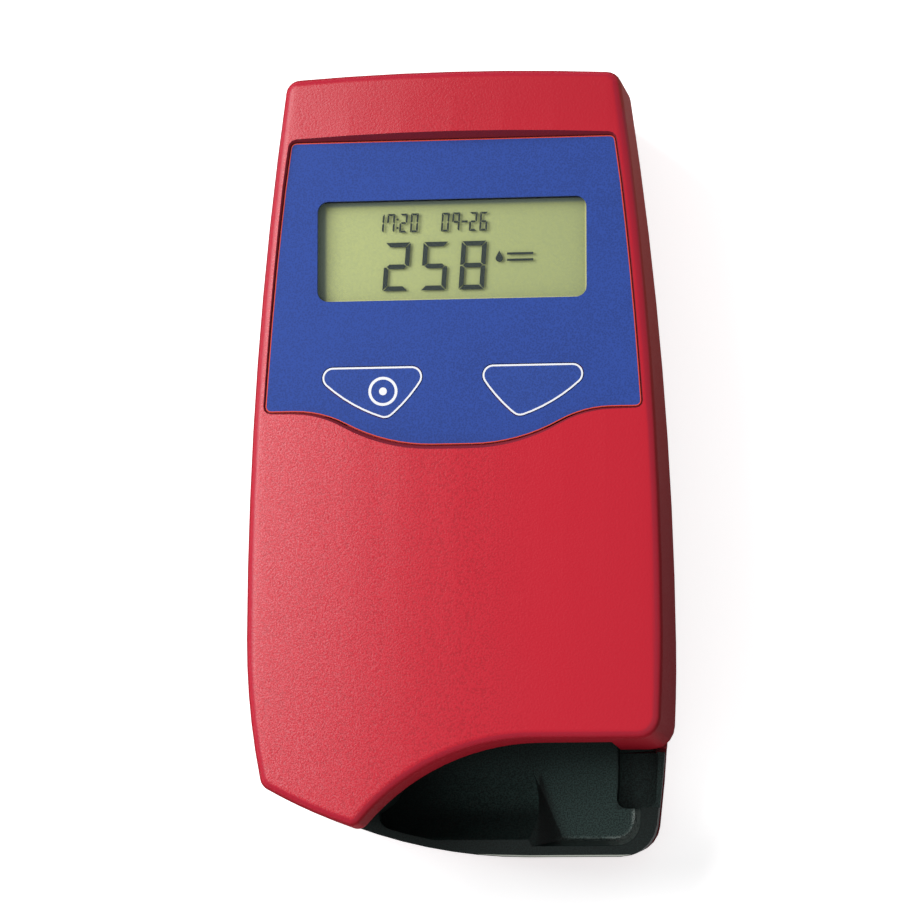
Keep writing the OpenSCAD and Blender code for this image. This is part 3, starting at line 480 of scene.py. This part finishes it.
@dataclass(frozen=True)
class ArmBlack:
    """Coarse-grained black of the arm, with painted light that makes its pocket's open
    floor paler.

    Painted shade makes the pocket's floor darkest at the left, under the cover's
    edge, in the notch, on its slopes and on the wedge between its two levels, and
    painted glints lie in short broken lines along its far corner.
    """

    name: str = "arm_black"
    colour: Colour = srgb(24, 36, 34)
    # painted highlight: the colour of the glints along the floor's far corner
    painted_glint: Colour = srgb(168, 184, 178)
    roughness: float = 0.5
    gloss: float = 0.2
    grain_mm: float = 0.3
    broad_mm: float = 6.0
    depth_mm: float = 0.06
    grain_sway: float = 0.2
    broad_sway: float = 0.08
    grain_tones: Span = (0.4, 0.6)
    grain_share: float = 0.6
    # Painted light and shade: how bright the floor is painted at the left, in the
    # middle, at the right and in its darkest places, as multiples of the colour.
    shut: float = 0.5
    middle: float = 3.4
    wide: float = 4.8
    deep: float = 0.35
    middle_x: Span = (-14.0, 10.0)
    wide_x: Span = (12.0, 19.0)
    # painted shadow on the floor under the cover's edge
    cover_shadow_y: Span = (-64.0, -57.0)
    cover_shadow_share: float = 0.6
    # painted shade on the wedge between the floor's two levels
    wedge_tip: tuple[float, float] = (14.3, -61.4)
    wedge_start: float = 0.5
    wedge_near: Span = (-0.02, 0.06)
    wedge_far: Span = (0.14, 0.52)
    wedge_run: Span = (0.0, 3.0)
    wedge_shade_share: float = 0.85
    # painted shade in the notch
    notch_x: Span = (30.3, 30.6)
    notch_y: Span = (-70.1, -69.8)
    notch_shade_share: float = 0.4
    # painted highlight: where the glints lie along the floor's far corner
    corner: tuple[float, float] = (30.9, -72.9)
    corner_reach: Span = (2.3, 3.3)
    dash_mm: float = 0.6
    dash_tones: Span = (0.3, 0.52)
    dash_x: Span = (17.0, 20.0)
    dash_y: Span = (-71.0, -69.5)
    dash_faint: float = 0.3
    dash_more: float = 0.7
    dash_more_x: Span = (27.0, 32.0)
    dash_share: float = 0.9
    # painted shade on the floor's slopes
    slope_facing: Span = (0.88, 0.97)
    slope_shade_share: float = 0.75
    inside_facing: Span = (0.12, 0.2)
    inside_z: Span = (17.2, 17.9)

    def make(self) -> bpy.types.Material:
        """Build the finish.

        Returns:
            The material.
        """
        sheet = Sheet(self.name)
        x, y, z = sheet.xyz()
        upward = sheet.facing()[2]
        grain = sheet.noise(self.grain_mm)
        broad = sheet.noise(self.broad_mm)
        shut, middle, wide, deep = (
            scaled(self.colour, factor)
            for factor in (self.shut, self.middle, self.wide, self.deep)
        )

        # painted light and shade: the floor is darkest at the left and paler toward the
        # right
        floor = sheet.mix(x.step(*self.middle_x), shut, middle)
        floor = sheet.mix(x.step(*self.wide_x), floor, wide)
        # painted shadow under the cover's edge
        floor = sheet.mix(y.step(*self.cover_shadow_y) * self.cover_shadow_share, floor, shut)
        # painted shade on the wedge
        floor = sheet.mix(self._painted_wedge_shade(x, y) * self.wedge_shade_share, floor, deep)
        # painted shade in the notch
        notch_shade = x.step(*self.notch_x) * y.step(*self.notch_y)
        floor = sheet.mix(notch_shade * self.notch_shade_share, floor, deep)
        # painted highlight: glints along the floor's far corner
        painted_glints = self._painted_glints(sheet, x, y)
        floor = sheet.mix(painted_glints * self.dash_share, floor, self.painted_glint)
        # painted shade on surfaces that slope away from up
        slope_shade = 1 - upward.step(*self.slope_facing)
        floor = sheet.mix(slope_shade * self.slope_shade_share, floor, deep)

        # the painted floor colour lies only on up-facing surfaces below the rim
        inside = upward.step(*self.inside_facing) * (1 - z.step(*self.inside_z))
        body = sheet.mix(inside, self.colour, floor)
        dark = sheet.mix(grain.step(*self.grain_tones), NO_LIGHT, body)
        rough = self.roughness + grain.sway(self.grain_sway)
        return sheet.surface(
            Base_Color=sheet.mix(self.grain_share, body, dark),
            Roughness=rough + broad.sway(self.broad_sway),
            Normal=sheet.bump(grain, self.depth_mm),
            Specular_IOR_Level=self.gloss,
        )

    def _painted_wedge_shade(self, x: Signal, y: Signal) -> Signal:
        """Mask the painted shade on the wedge that widens from its tip toward the arm's
        foot.

        Args:
            x: The coordinate across the meter.
            y: The coordinate along the meter.

        Returns:
            1 on the wedge, else 0.
        """
        tip_x, tip_y = self.wedge_tip
        run = (tip_y - y).over(0.0)
        slant = (x - tip_x) / (run + self.wedge_start)
        between = slant.step(*self.wedge_near) * (1 - slant.step(*self.wedge_far))
        return between * run.step(*self.wedge_run)

    def _painted_glints(self, sheet: Sheet, x: Signal, y: Signal) -> Signal:
        """Mask the painted glints, broken, where the floor rounds up to the outer wall.

        Args:
            sheet: The material's sheet.
            x: The coordinate across the meter.
            y: The coordinate along the meter.

        Returns:
            Up to 1 on the glints, else 0.
        """
        corner_x, corner_y = self.corner
        out, down = x.over(corner_x), (corner_y - y).over(0.0)
        reach = (out**2.0 + down**2.0) ** 0.5
        bright = self.dash_faint + x.step(*self.dash_more_x) * self.dash_more
        near = x.step(*self.dash_x) * bright * (1 - y.step(*self.dash_y))
        broken = sheet.noise(self.dash_mm).step(*self.dash_tones)
        return reach.step(*self.corner_reach) * broken * near


@dataclass(frozen=True)
class Foil:
    """Printed foil of the panel and keys, with a velvet texture."""

    name: str
    colour: Colour
    roughness: float = 0.5
    gloss: float = 0.25
    velvet_mm: float = 0.36
    velvet_mean: float = 0.4
    velvet_sway: float = 0.14
    velvet_share: float = 0.7
    broad_mm: float = 16.0
    depth_mm: float = 0.012
    mottle: float = 0.18
    tones: Span = (0.2, 0.7)

    def make(self) -> bpy.types.Material:
        """Build the finish.

        Returns:
            The material.
        """
        sheet = Sheet(self.name)
        velvet = sheet.cells(self.velvet_mm)
        broad = sheet.noise(self.broad_mm)
        pattern = velvet * self.velvet_share + broad * (1 - self.velvet_share)
        low = scaled(self.colour, 1 - self.mottle)
        high = scaled(self.colour, 1 + self.mottle)
        return sheet.surface(
            Base_Color=sheet.mix(pattern.step(*self.tones), low, high),
            Roughness=self.roughness + velvet.sway(self.velvet_sway, self.velvet_mean),
            Normal=sheet.bump(velvet, self.depth_mm),
            Specular_IOR_Level=self.gloss,
        )


@dataclass(frozen=True)
class Clear:
    """Clear plastic or glass, with a faint haze of fine dust."""

    name: str
    tint: Colour = (0.5, 0.56, 0.5)
    haze: float = 0.02
    roughness: float = 0.04
    alpha: float = 0.015
    refraction: float = 1.49
    dust_mm: float = 0.6
    dull: Span = (0.5, 0.8)
    dense: Span = (0.55, 0.85)

    def make(self) -> bpy.types.Material:
        """Build the finish.

        Returns:
            The material.
        """
        sheet = Sheet(self.name)
        dust = sheet.noise(self.dust_mm, detail=4.0)
        return sheet.surface(
            Base_Color=self.tint,
            Roughness=dust.step(*self.dull) * self.haze + self.roughness,
            Alpha=dust.step(*self.dense) * self.haze + self.alpha,
            IOR=self.refraction,
        )


@dataclass(frozen=True)
class DisplayBack:
    """Yellow-green reflective back of the display, shaded at two edges.

    The shade that the window's edge throws on the back is painted softly at
    its left and top, in step with the light from there. A painted highlight, a
    pale lit edge for the lit walls of the window, lies along the other two edges,
    and the back is painted lighter on its left than on its right. Shade and
    lit-edge spans are distances from their edge.
    """

    name: str
    low: tuple[float, float]
    high: tuple[float, float]
    # near and far: painted light, the back is lighter on its left than on its right
    near: Colour = srgb(187, 196, 121)
    far: Colour = srgb(172, 181, 111)
    shade: Colour = srgb(92, 112, 112)
    # painted highlight: the pale colour along the right and foot edges
    lit_edge: Colour = srgb(232, 230, 150)
    roughness: float = 0.5
    fleck_mm: float = 0.3
    fleck_tones: Span = (0.3, 0.7)
    fleck_share: float = 0.2
    fleck_sway: float = 0.1
    depth_mm: float = 0.003
    left_shade: Span = (0.9, 1.8)
    top_shade: Span = (1.1, 0.3)
    right_lit_edge: Span = (0.65, 0.5)
    foot_lit_edge: Span = (0.5, 0.65)
    shade_share: float = 0.8
    lit_edge_share: float = 0.65

    def make(self) -> bpy.types.Material:
        """Build the finish.

        Returns:
            The material.
        """
        sheet = Sheet(self.name)
        x, y, _ = sheet.xyz()
        (left_x, foot_y), (right_x, top_y) = self.low, self.high
        fleck = sheet.noise(self.fleck_mm, detail=3.0)
        left = 1 - x.step(*(left_x + away for away in self.left_shade))
        top = y.step(*(top_y - away for away in self.top_shade))
        # painted highlight along the right and foot edges
        right = x.step(*(right_x - away for away in self.right_lit_edge))
        foot = 1 - y.step(*(foot_y + away for away in self.foot_lit_edge))
        shaded = left.either(top)
        lit = right.either(foot) * (1 - shaded)
        # painted light: the back is lighter on the left than on the right
        body = sheet.mix(x.step(left_x, right_x), self.near, self.far)
        flecked = fleck.step(*self.fleck_tones) * self.fleck_share
        body = sheet.mix(flecked, body, self.shade)
        body = sheet.mix(shaded * self.shade_share, body, self.shade)
        return sheet.surface(
            Base_Color=sheet.mix(lit * self.lit_edge_share, body, self.lit_edge),
            Roughness=self.roughness + fleck.sway(self.fleck_sway),
            Normal=sheet.bump(fleck, self.depth_mm),
        )


@dataclass(frozen=True)
class Metal:
    """Turned or stamped metal with fine drawn lines."""

    name: str
    colour: Colour
    roughness: float = 0.32
    line_mm: float = 0.15
    line_sway: float = 0.2
    broad_mm: float = 3.0
    depth_mm: float = 0.004
    dim: float = 0.9

    def make(self) -> bpy.types.Material:
        """Build the finish.

        Returns:
            The material.
        """
        sheet = Sheet(self.name)
        lines = sheet.noise(self.line_mm, detail=4.0)
        broad = sheet.noise(self.broad_mm)
        return sheet.surface(
            Base_Color=sheet.mix(broad, scaled(self.colour, self.dim), self.colour),
            Roughness=self.roughness + lines.sway(self.line_sway),
            Normal=sheet.bump(lines, self.depth_mm),
            Metallic=1.0,
        )


@dataclass(frozen=True)
class Board:
    """Green solder mask with a pattern of traces under it."""

    name: str = "board"
    mask: Colour = srgb(20, 84, 48)
    trace: Colour = srgb(44, 122, 72)
    roughness: float = 0.32
    cell_mm: float = 2.6
    trace_edge: Span = (0.5, 0.56)
    weave_mm: float = 0.4
    weave_sway: float = 0.12
    depth_mm: float = 0.02

    def make(self) -> bpy.types.Material:
        """Build the finish.

        Returns:
            The material.
        """
        sheet = Sheet(self.name)
        traces = sheet.cells(self.cell_mm).step(*self.trace_edge)
        weave = sheet.noise(self.weave_mm)
        return sheet.surface(
            Base_Color=sheet.mix(traces, self.mask, self.trace),
            Roughness=self.roughness + weave.sway(self.weave_sway),
            Normal=sheet.bump(traces, self.depth_mm),
        )


class Finish(Enum):
    """The finishes of the meter's pieces."""

    RED = HousingRed()
    # back housing: its dark face colour is painted shade for the up-facing ledges seen
    # in the gaps under the cover, and it also carries HousingRed's painted light and
    # shade
    BACK_RED = HousingRed(
        "back_red",
        face=srgb(104, 8, 20),
        wall=srgb(146, 16, 32),
        spark=srgb(112, 14, 28),
        gloss=0.3,
    )
    BLUE = Foil("panel_blue", srgb(39, 69, 150))
    KEY_BLUE = Foil("key_blue", srgb(41, 71, 151))
    PRINT_WHITE = Grained("print_white", srgb(246, 247, 250), 0.5, 0.2, 0.004, 0.03)
    # painted highlight: the orange-red line for the lit wall of the panel's recess
    PANEL_EDGE_LIGHT = Grained("painted_panel_edge_light", srgb(230, 70, 26), 0.5, 0.2, 0.004, 0.05)
    # painted highlight: the pale line along the arm rim's outer edge
    EDGE_GLINT = Grained("painted_edge_glint", srgb(172, 178, 168), 0.5, 0.3, 0.004, 0.08)
    BLACK = ArmBlack()
    PART_BLACK = Grained("part_black", srgb(30, 31, 33), 0.5, 0.25, 0.01, 0.1)
    SEGMENT = Grained("segment", srgb(36, 47, 46), 0.6, 0.1, 0.001, 0.05, 0.2)
    WHITE = Grained("moulded_white", srgb(222, 222, 216), 0.45, 0.4, 0.01, 0.03)
    RUBBER = Grained("rubber", srgb(38, 38, 40), 0.75, 0.5, 0.03, 0.12)
    CELL = Grained("cell_sleeve", srgb(30, 96, 66), 0.3, 2.0, 0.004, 0.08)
    CLEAR = Clear("clear_window")
    GLASS = Clear("display_glass", (0.4, 0.46, 0.4), 0.01)
    STEEL = Metal("steel", srgb(196, 198, 200))
    BRASS = Metal("brass", srgb(206, 172, 96))
    GREEN = Board()


class Paintbox:
    """Makes each finish once and puts it on pieces."""

    def __init__(self) -> None:
        """Start with no materials made."""
        self._made: dict[str, bpy.types.Material] = {}

    def get(self, finish: Finish) -> bpy.types.Material:
        """Find a finish's material, or make it at its first use.

        Args:
            finish: The finish.

        Returns:
            The material.
        """
        if finish.name not in self._made:
            self._made[finish.name] = finish.value.make()
        return self._made[finish.name]

    @staticmethod
    def dress(piece: bpy.types.Object, material: bpy.types.Material) -> None:
        """Give the whole piece one material."""
        piece.data.materials.clear()
        piece.data.materials.append(material)


# ---- mesh tools ------------------------------------------------------------


def mesh_piece(name: str, mesh: bmesh.types.BMesh) -> bpy.types.Object:
    """Turn a bmesh into a linked object.

    Args:
        name: The object's name.
        mesh: The bmesh, which is freed.

    Returns:
        The object.
    """
    data = bpy.data.meshes.new(name)
    mesh.to_mesh(data)
    mesh.free()
    piece = bpy.data.objects.new(name, data)
    bpy.context.scene.collection.objects.link(piece)
    return piece


def band(
    name: str,
    outer: Points,
    inner: Points,
    low: float,
    high: float,
    closed: bool = True,
) -> bpy.types.Object:
    """Make a raised flat band between two outlines of equally many points.

    Args:
        name: The piece's name.
        outer: The outer outline, in metres.
        inner: The inner outline, in metres.
        low: The height of the band's underside.
        high: The height of its top.
        closed: Whether the outlines are loops, not runs with two ends.

    Returns:
        The band.
    """
    mesh = bmesh.new()
    corners = ((outer, low), (outer, high), (inner, high), (inner, low))
    rings = [[mesh.verts.new((x, y, z)) for x, y in line] for line, z in corners]
    count = len(outer)
    for first, second in zip(rings, rings[1:] + rings[:1]):
        for i in range(count if closed else count - 1):
            j = (i + 1) % count
            mesh.faces.new((first[i], first[j], second[j], second[i]))
    if not closed:
        for end in (0, count - 1):
            mesh.faces.new([ring[end] for ring in rings])
    bmesh.ops.recalc_face_normals(mesh, faces=mesh.faces)
    return mesh_piece(name, mesh)


def welded(node: bpy.types.Object) -> bmesh.types.BMesh:
    """Read a node's mesh with its shared vertices joined.

    Args:
        node: The node, which stays as it is.

    Returns:
        A bmesh, for the caller to free.
    """
    mesh = bmesh.new()
    mesh.from_mesh(node.data)
    bmesh.ops.remove_doubles(mesh, verts=mesh.verts, dist=WELD)
    return mesh


def smooth_copy(name: str, node: bpy.types.Object, crease: float) -> bpy.types.Object:
    """Copy a node with its faces shaded as one surface up to a crease angle.

    Args:
        name: The copy's name.
        node: The node to copy.
        crease: The angle between faces at which an edge stays sharp, in radians.

    Returns:
        The copy.
    """
    mesh = welded(node)
    mesh.verts.index_update()
    places = [v.co for v in mesh.verts]
    faces = [[v.index for v in face.verts] for face in mesh.faces]
    data = bpy.data.meshes.new(name)
    data.from_pydata(places, [], faces)
    mesh.free()
    data.shade_smooth()
    data.set_sharp_from_angle(angle=crease)
    piece = bpy.data.objects.new(name, data)
    bpy.context.scene.collection.objects.link(piece)
    weights = piece.modifiers.new("weights", "WEIGHTED_NORMAL")
    weights.keep_sharp = True
    return piece


def circle(x: float, y: float, radius: float, count: int = 64) -> Points:
    """Return a circle's points about (x, y)."""
    turns = [2 * math.pi * i / count for i in range(count)]
    return [(x + radius * math.cos(t), y + radius * math.sin(t)) for t in turns]


def width(line: Points) -> float:
    """Return how far an outline reaches in x."""
    across = [x for x, _ in line]
    return max(across) - min(across)


def top_outline(node: bpy.types.Object, level: float | None = None) -> Points:
    """Return the widest outline of a node's flat face, counter-clockwise.

    Args:
        node: The node to outline.
        level: The face's height, or None for the node's top.

    Returns:
        The outline's points, in metres.
    """
    top = max(v.co.z for v in node.data.vertices) if level is None else level
    mesh = welded(node)
    flat = {f for f in mesh.faces if all(abs(v.co.z - top) < WELD for v in f.verts)}
    follow = {}
    for face in flat:
        for loop in face.loops:
            if not any(f in flat and f is not face for f in loop.edge.link_faces):
                follow[loop.vert] = loop.link_loop_next.vert
    loops = []
    while follow:
        line = [next(iter(follow))]
        while line[-1] in follow:
            line.append(follow.pop(line[-1]))
        loops.append([(v.co.x, v.co.y) for v in line[:-1]])
    mesh.free()
    return max(loops, key=width)


def inset(line: Points, distance: float) -> Points:
    """Move a counter-clockwise outline inwards.

    Args:
        line: The outline.
        distance: How far it moves, or less than 0 to move it outwards.

    Returns:
        The moved outline, with as many points.
    """
    moved = []
    for i, (x, y) in enumerate(line):
        last_x, last_y = line[i - 1]
        next_x, next_y = line[(i + 1) % len(line)]
        before = Vector((x - last_x, y - last_y)).normalized()
        after = Vector((next_x - x, next_y - y)).normalized()
        left = Vector((-before.y - after.y, before.x + after.x)).normalized()
        slant = left.dot(Vector((-before.y, before.x)))
        reach = distance / max(MITRE_LIMIT, slant)
        moved.append((x + left.x * reach, y + left.y * reach))
    return moved


# ---- sub-assemblies --------------------------------------------------------


@dataclass
class Dresser:
    """Puts finishes on the CAD nodes that keep their own shape."""

    nodes: dict[str, bpy.types.Object]
    paint: Paintbox
    finishes: dict[str, Finish] = field(
        default_factory=lambda: {
            "top_cover": Finish.RED,
            "back_housing": Finish.BACK_RED,
            "battery_door": Finish.BACK_RED,
            "housing_screws": Finish.STEEL,
            "rubber_feet": Finish.RUBBER,
            "front_panel": Finish.BLUE,
            "left_key": Finish.KEY_BLUE,
            "right_key": Finish.KEY_BLUE,
            "left_plunger": Finish.WHITE,
            "right_plunger": Finish.WHITE,
            "left_switch": Finish.PART_BLACK,
            "right_switch": Finish.PART_BLACK,
            "display_window": Finish.CLEAR,
            "display_front_glass": Finish.GLASS,
            "display_rear_glass": Finish.GLASS,
            "display_segments": Finish.SEGMENT,
            "display_frame": Finish.WHITE,
            "contact_strips": Finish.RUBBER,
            "main_board": Finish.GREEN,
            "board_screws": Finish.STEEL,
            "processor_chip": Finish.PART_BLACK,
            "buzzer": Finish.PART_BLACK,
            "power_socket": Finish.PART_BLACK,
            "data_socket": Finish.STEEL,
            "battery_contacts": Finish.STEEL,
            "cuvette_arm": Finish.BLACK,
            "arm_pivot_pin": Finish.STEEL,
            "arm_washer": Finish.BRASS,
            "arm_detent_spring": Finish.STEEL,
            "arm_sensor": Finish.PART_BLACK,
            "optics_fork": Finish.PART_BLACK,
            "lamp_board": Finish.GREEN,
            "light_emitter": Finish.CLEAR,
            "collimator_lens": Finish.CLEAR,
            "detector_board": Finish.GREEN,
            "light_detector": Finish.PART_BLACK,
            "optics_screws": Finish.STEEL,
        }
    )

    def build(self) -> list[bpy.types.Object]:
        """Dress every listed node and the cells.

        Returns:
            The dressed nodes.
        """
        wanted = dict(self.finishes)
        cells = [name for name in self.nodes if name.startswith("battery_cell_")]
        wanted |= {name: Finish.CELL for name in cells}
        for name, finish in wanted.items():
            piece = self.nodes[name]
            self.paint.dress(piece, self.paint.get(finish))
            if isinstance(finish.value, Clear):
                piece.visible_shadow = False
                piece.visible_diffuse = False
        return [self.nodes[name] for name in wanted]


@dataclass
class Skins:
    """Smoothly shaded skins of the curved mouldings, in place of their nodes."""

    nodes: dict[str, bpy.types.Object]
    crease: float = math.radians(24)
    names: tuple[str, ...] = (
        "top_cover",
        "back_housing",
        "battery_door",
        "cuvette_arm",
    )

    def build(self) -> list[bpy.types.Object]:
        """Make the skins from the dressed nodes and let them ride.

        Returns:
            The skins.
        """
        skins = []
        for name in self.names:
            node = self.nodes[name]
            skin = smooth_copy(f"{name}_skin", node, self.crease)
            skin.data.materials.append(node.data.materials[0])
            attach(skin, node["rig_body"])
            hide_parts(name)
            skins.append(skin)
        return skins


@dataclass
class DisplayAssembly:
    """The display's reflective back, with painted shade and light as it lies in its
    recess.
    """

    nodes: dict[str, bpy.types.Object]
    paint: Paintbox
    edge_mm: float = 1.2

    def build(self) -> list[bpy.types.Object]:
        """Dress the display's back from the box of its window.

        Returns:
            The display's back.
        """
        low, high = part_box("display_window")
        back = DisplayBack(
            "display_back",
            (low.x / MM + self.edge_mm, low.y / MM + self.edge_mm),
            (high.x / MM - self.edge_mm, high.y / MM - self.edge_mm),
        )
        self.paint.dress(self.nodes["display_reflector"], back.make())
        return [self.nodes["display_reflector"]]


@dataclass
class PanelLine:
    """A painted highlight: the thin orange-red line that edges the foil of the panel,
    for the lit wall of its recess.
    """

    nodes: dict[str, bpy.types.Object]
    paint: Paintbox
    outside: float = 0.11 * MM
    inside: float = 0.07 * MM
    half_thickness: float = 0.015 * MM

    def build(self) -> list[bpy.types.Object]:
        """Make the line and let it ride on the panel's body.

        Returns:
            The line.
        """
        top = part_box("front_panel")[1].z
        edge = top_outline(self.nodes["front_panel"])
        outer, inner = inset(edge, -self.outside), inset(edge, self.inside)
        line = band("front_panel_line", outer, inner, top - self.half_thickness, top + self.half_thickness)
        self.paint.dress(line, self.paint.get(Finish.PANEL_EDGE_LIGHT))
        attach(line, self.nodes["front_panel"]["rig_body"])
        return [line]


@dataclass
class ArmEdge:
    """A painted highlight: the pale line along the foot side of the arm's rim, for the
    light on its outer edge.
    """

    nodes: dict[str, bpy.types.Object]
    paint: Paintbox
    rim_z: float = 18.0 * MM
    limit_y: float = -78.9 * MM
    margin: float = 0.12 * MM
    line: float = 0.3 * MM
    taper: float = 0.15
    half_thickness: float = 0.012 * MM

    def build(self) -> list[bpy.types.Object]:
        """Make the painted highlight from the rim's outline and let it ride on the arm.

        Returns:
            The edge.
        """
        rim = top_outline(self.nodes["cuvette_arm"], self.rim_z)
        outer, inner = inset(rim, self.margin), inset(rim, self.margin + self.line)
        run = []
        for i, (x, y) in enumerate(rim):
            next_x = rim[(i + 1) % len(rim)][0]
            if y < self.limit_y and next_x > x:
                run.append(i)
        run.sort(key=lambda i: rim[i][0])
        near, far = [outer[i] for i in run], [inner[i] for i in run]
        for end in (0, -1):
            pairs = zip(near[end], far[end])
            far[end] = tuple(n + (f - n) * self.taper for n, f in pairs)
        low, high = self.rim_z - self.half_thickness, self.rim_z + self.half_thickness
        edge = band("arm_painted_edge_glint", near, far, low, high, closed=False)
        self.paint.dress(edge, self.paint.get(Finish.EDGE_GLINT))
        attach(edge, self.nodes["cuvette_arm"]["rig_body"])
        return [edge]


@dataclass
class KeyPrints:
    """White lines on the keys, and the ring with its dot on the left key."""

    nodes: dict[str, bpy.types.Object]
    paint: Paintbox
    line: float = 0.36 * MM
    margin: float = 0.05 * MM
    half_thickness: float = 0.015 * MM
    ring_x: float = -14.25 * MM
    ring_y: float = 13.9 * MM
    ring_radius: float = 2.71 * MM
    ring_line: float = 0.56 * MM
    dot_radius: float = 0.8 * MM
    dot_hole: float = 0.01

    def build(self) -> list[bpy.types.Object]:
        """Make the prints and let them ride on their keys.

        Returns:
            The two lines, the ring and the dot.
        """
        prints = []
        for side in ("left", "right"):
            node = f"{side}_key"
            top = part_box(node)[1].z
            edge = top_outline(self.nodes[node])
            outer = inset(edge, self.margin)
            inner = inset(edge, self.margin + self.line)
            prints.append(self._print(f"{side}_key_line", outer, inner, top, node))
        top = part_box("left_key")[1].z
        half = self.ring_line / 2
        rounds = {
            "left_key_ring": (self.ring_radius + half, self.ring_radius - half),
            "left_key_dot": (self.dot_radius, self.dot_radius * self.dot_hole),
        }
        for name, radii in rounds.items():
            outer, inner = (circle(self.ring_x, self.ring_y, r) for r in radii)
            prints.append(self._print(name, outer, inner, top, "left_key"))
        return prints

    def _print(
        self, name: str, outer: Points, inner: Points, top: float, body: str
    ) -> bpy.types.Object:
        """Make a print, dress it and let it ride on its key's body.

        Args:
            name: The print's name.
            outer: Its outer outline.
            inner: Its inner outline.
            top: The height of its key's top.
            body: Its key's body.

        Returns:
            The print.
        """
        piece = band(name, outer, inner, top - self.half_thickness, top + self.half_thickness)
        self.paint.dress(piece, self.paint.get(Finish.PRINT_WHITE))
        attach(piece, body)
        return piece


# ---- studio ----------------------------------------------------------------


@dataclass(frozen=True)
class Softbox:
    """A square area lamp that faces the part, in metres and watts."""

    name: str
    place: tuple[float, float, float]
    size: float
    watts: float


@dataclass
class Studio:
    """White table, soft lamps and the camera."""

    target: Vector = field(
        default_factory=lambda: Vector((1.377, -0.249, 40.25)) * MM
    )
    turn: float = math.radians(7.6)
    tilt: float = math.radians(-7.25)
    distance: float = 0.8741
    lens: float = 169.1
    sensor: float = 36.0
    table: float = 3.0
    table_low: Colour = (0.86, 0.86, 0.87)
    table_high: Colour = (0.9, 0.9, 0.9)
    table_roughness: float = 0.7
    mottle_mm: float = 60.0
    # The table's glow for the camera is weaker at the arm's foot, so that the
    # part's shadow shows there.
    clean_y: Span = (-96.0, -62.0)
    foot_glow: float = 0.46
    more_glow: float = 0.22
    seen_glow: float = 0.1
    sky: float = 0.45
    lamps: tuple[Softbox, ...] = (
        Softbox("left_softbox", (-0.56, 0.27, 0.62), 0.6, 6.6),
        Softbox("right_fill", (0.8, -0.4, 0.7), 0.9, 0.6),
    )

    def build(self) -> None:
        """Make the table, the world, the lamps and the camera."""
        self._floor()
        self._world()
        for lamp in self.lamps:
            self._lamp(lamp)
        self._camera()

    def _floor(self) -> None:
        """Make the table, white to the camera but for the part's shadow."""
        mesh = bmesh.new()
        half = self.table / 2
        corners = ((-half, -half), (half, -half), (half, half), (-half, half))
        mesh.faces.new([mesh.verts.new((x, y, 0.0)) for x, y in corners])
        floor = mesh_piece("table", mesh)
        sheet = Sheet("table_white")
        mottle = sheet.noise(self.mottle_mm)
        clean = sheet.xyz()[1].step(*self.clean_y)
        glow = sheet.ray("Camera") * (clean * self.more_glow + self.foot_glow)
        seen = (sheet.ray("Glossy") + sheet.ray("Transmission")) * self.seen_glow
        material = sheet.surface(
            Base_Color=sheet.mix(mottle, self.table_low, self.table_high),
            Roughness=self.table_roughness,
            Emission_Color=sheet.mix(glow + seen, NO_LIGHT, FULL_LIGHT),
            Emission_Strength=1.0,
        )
        floor.data.materials.append(material)

    def _world(self) -> None:
        """Light the scene plainly from all round."""
        world = bpy.data.worlds.new("studio")
        bpy.context.scene.world = world
        world.use_nodes = True
        inputs = world.node_tree.nodes["Background"].inputs
        inputs["Color"].default_value = (*FULL_LIGHT, 1.0)
        inputs["Strength"].default_value = self.sky

    def _lamp(self, box: Softbox) -> None:
        """Add a lamp that faces the part.

        Args:
            box: What the lamp is and where it stands.
        """
        lamp = bpy.data.lights.new(box.name, "AREA")
        lamp.size = box.size
        lamp.energy = box.watts
        holder = bpy.data.objects.new(box.name, lamp)
        place = Vector(box.place)
        holder.location = place
        holder.rotation_euler = (-place).to_track_quat("-Z", "Y").to_euler()
        bpy.context.scene.collection.objects.link(holder)

    def _camera(self) -> None:
        """Add the camera above the meter, a little right and below."""
        level = math.cos(self.tilt)
        back = Vector(
            (
                math.sin(self.turn) * level,
                math.sin(self.tilt),
                math.cos(self.turn) * level,
            )
        )
        right = Vector((math.cos(self.turn), 0.0, -math.sin(self.turn)))
        up = back.cross(right)
        camera = bpy.data.cameras.new("camera")
        camera.lens = self.lens
        camera.sensor_width = self.sensor
        holder = bpy.data.objects.new("camera", camera)
        axes = Matrix((right, up, back)).transposed().to_4x4()
        place = self.target + back * self.distance
        holder.matrix_world = Matrix.Translation(place) @ axes
        bpy.context.scene.collection.objects.link(holder)
        bpy.context.scene.camera = holder


def main() -> None:
    """Build the meter's looks around its frame."""
    logging.basicConfig(level=logging.INFO)
    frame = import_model()
    bpy.context.scene.view_settings.view_transform = "Standard"
    nodes = frame["nodes"]
    paint = Paintbox()
    assemblies = (
        Dresser(nodes, paint),
        Skins(nodes),
        DisplayAssembly(nodes, paint),
        PanelLine(nodes, paint),
        ArmEdge(nodes, paint),
        KeyPrints(nodes, paint),
    )
    for assembly in assemblies:
        for piece in assembly.build():
            log.info("%s: %s", type(assembly).__name__, piece.name)
    Studio().build()
    bpy.context.view_layer.update()
    log.info("pieces are built")


if __name__ == "__main__":
    main()
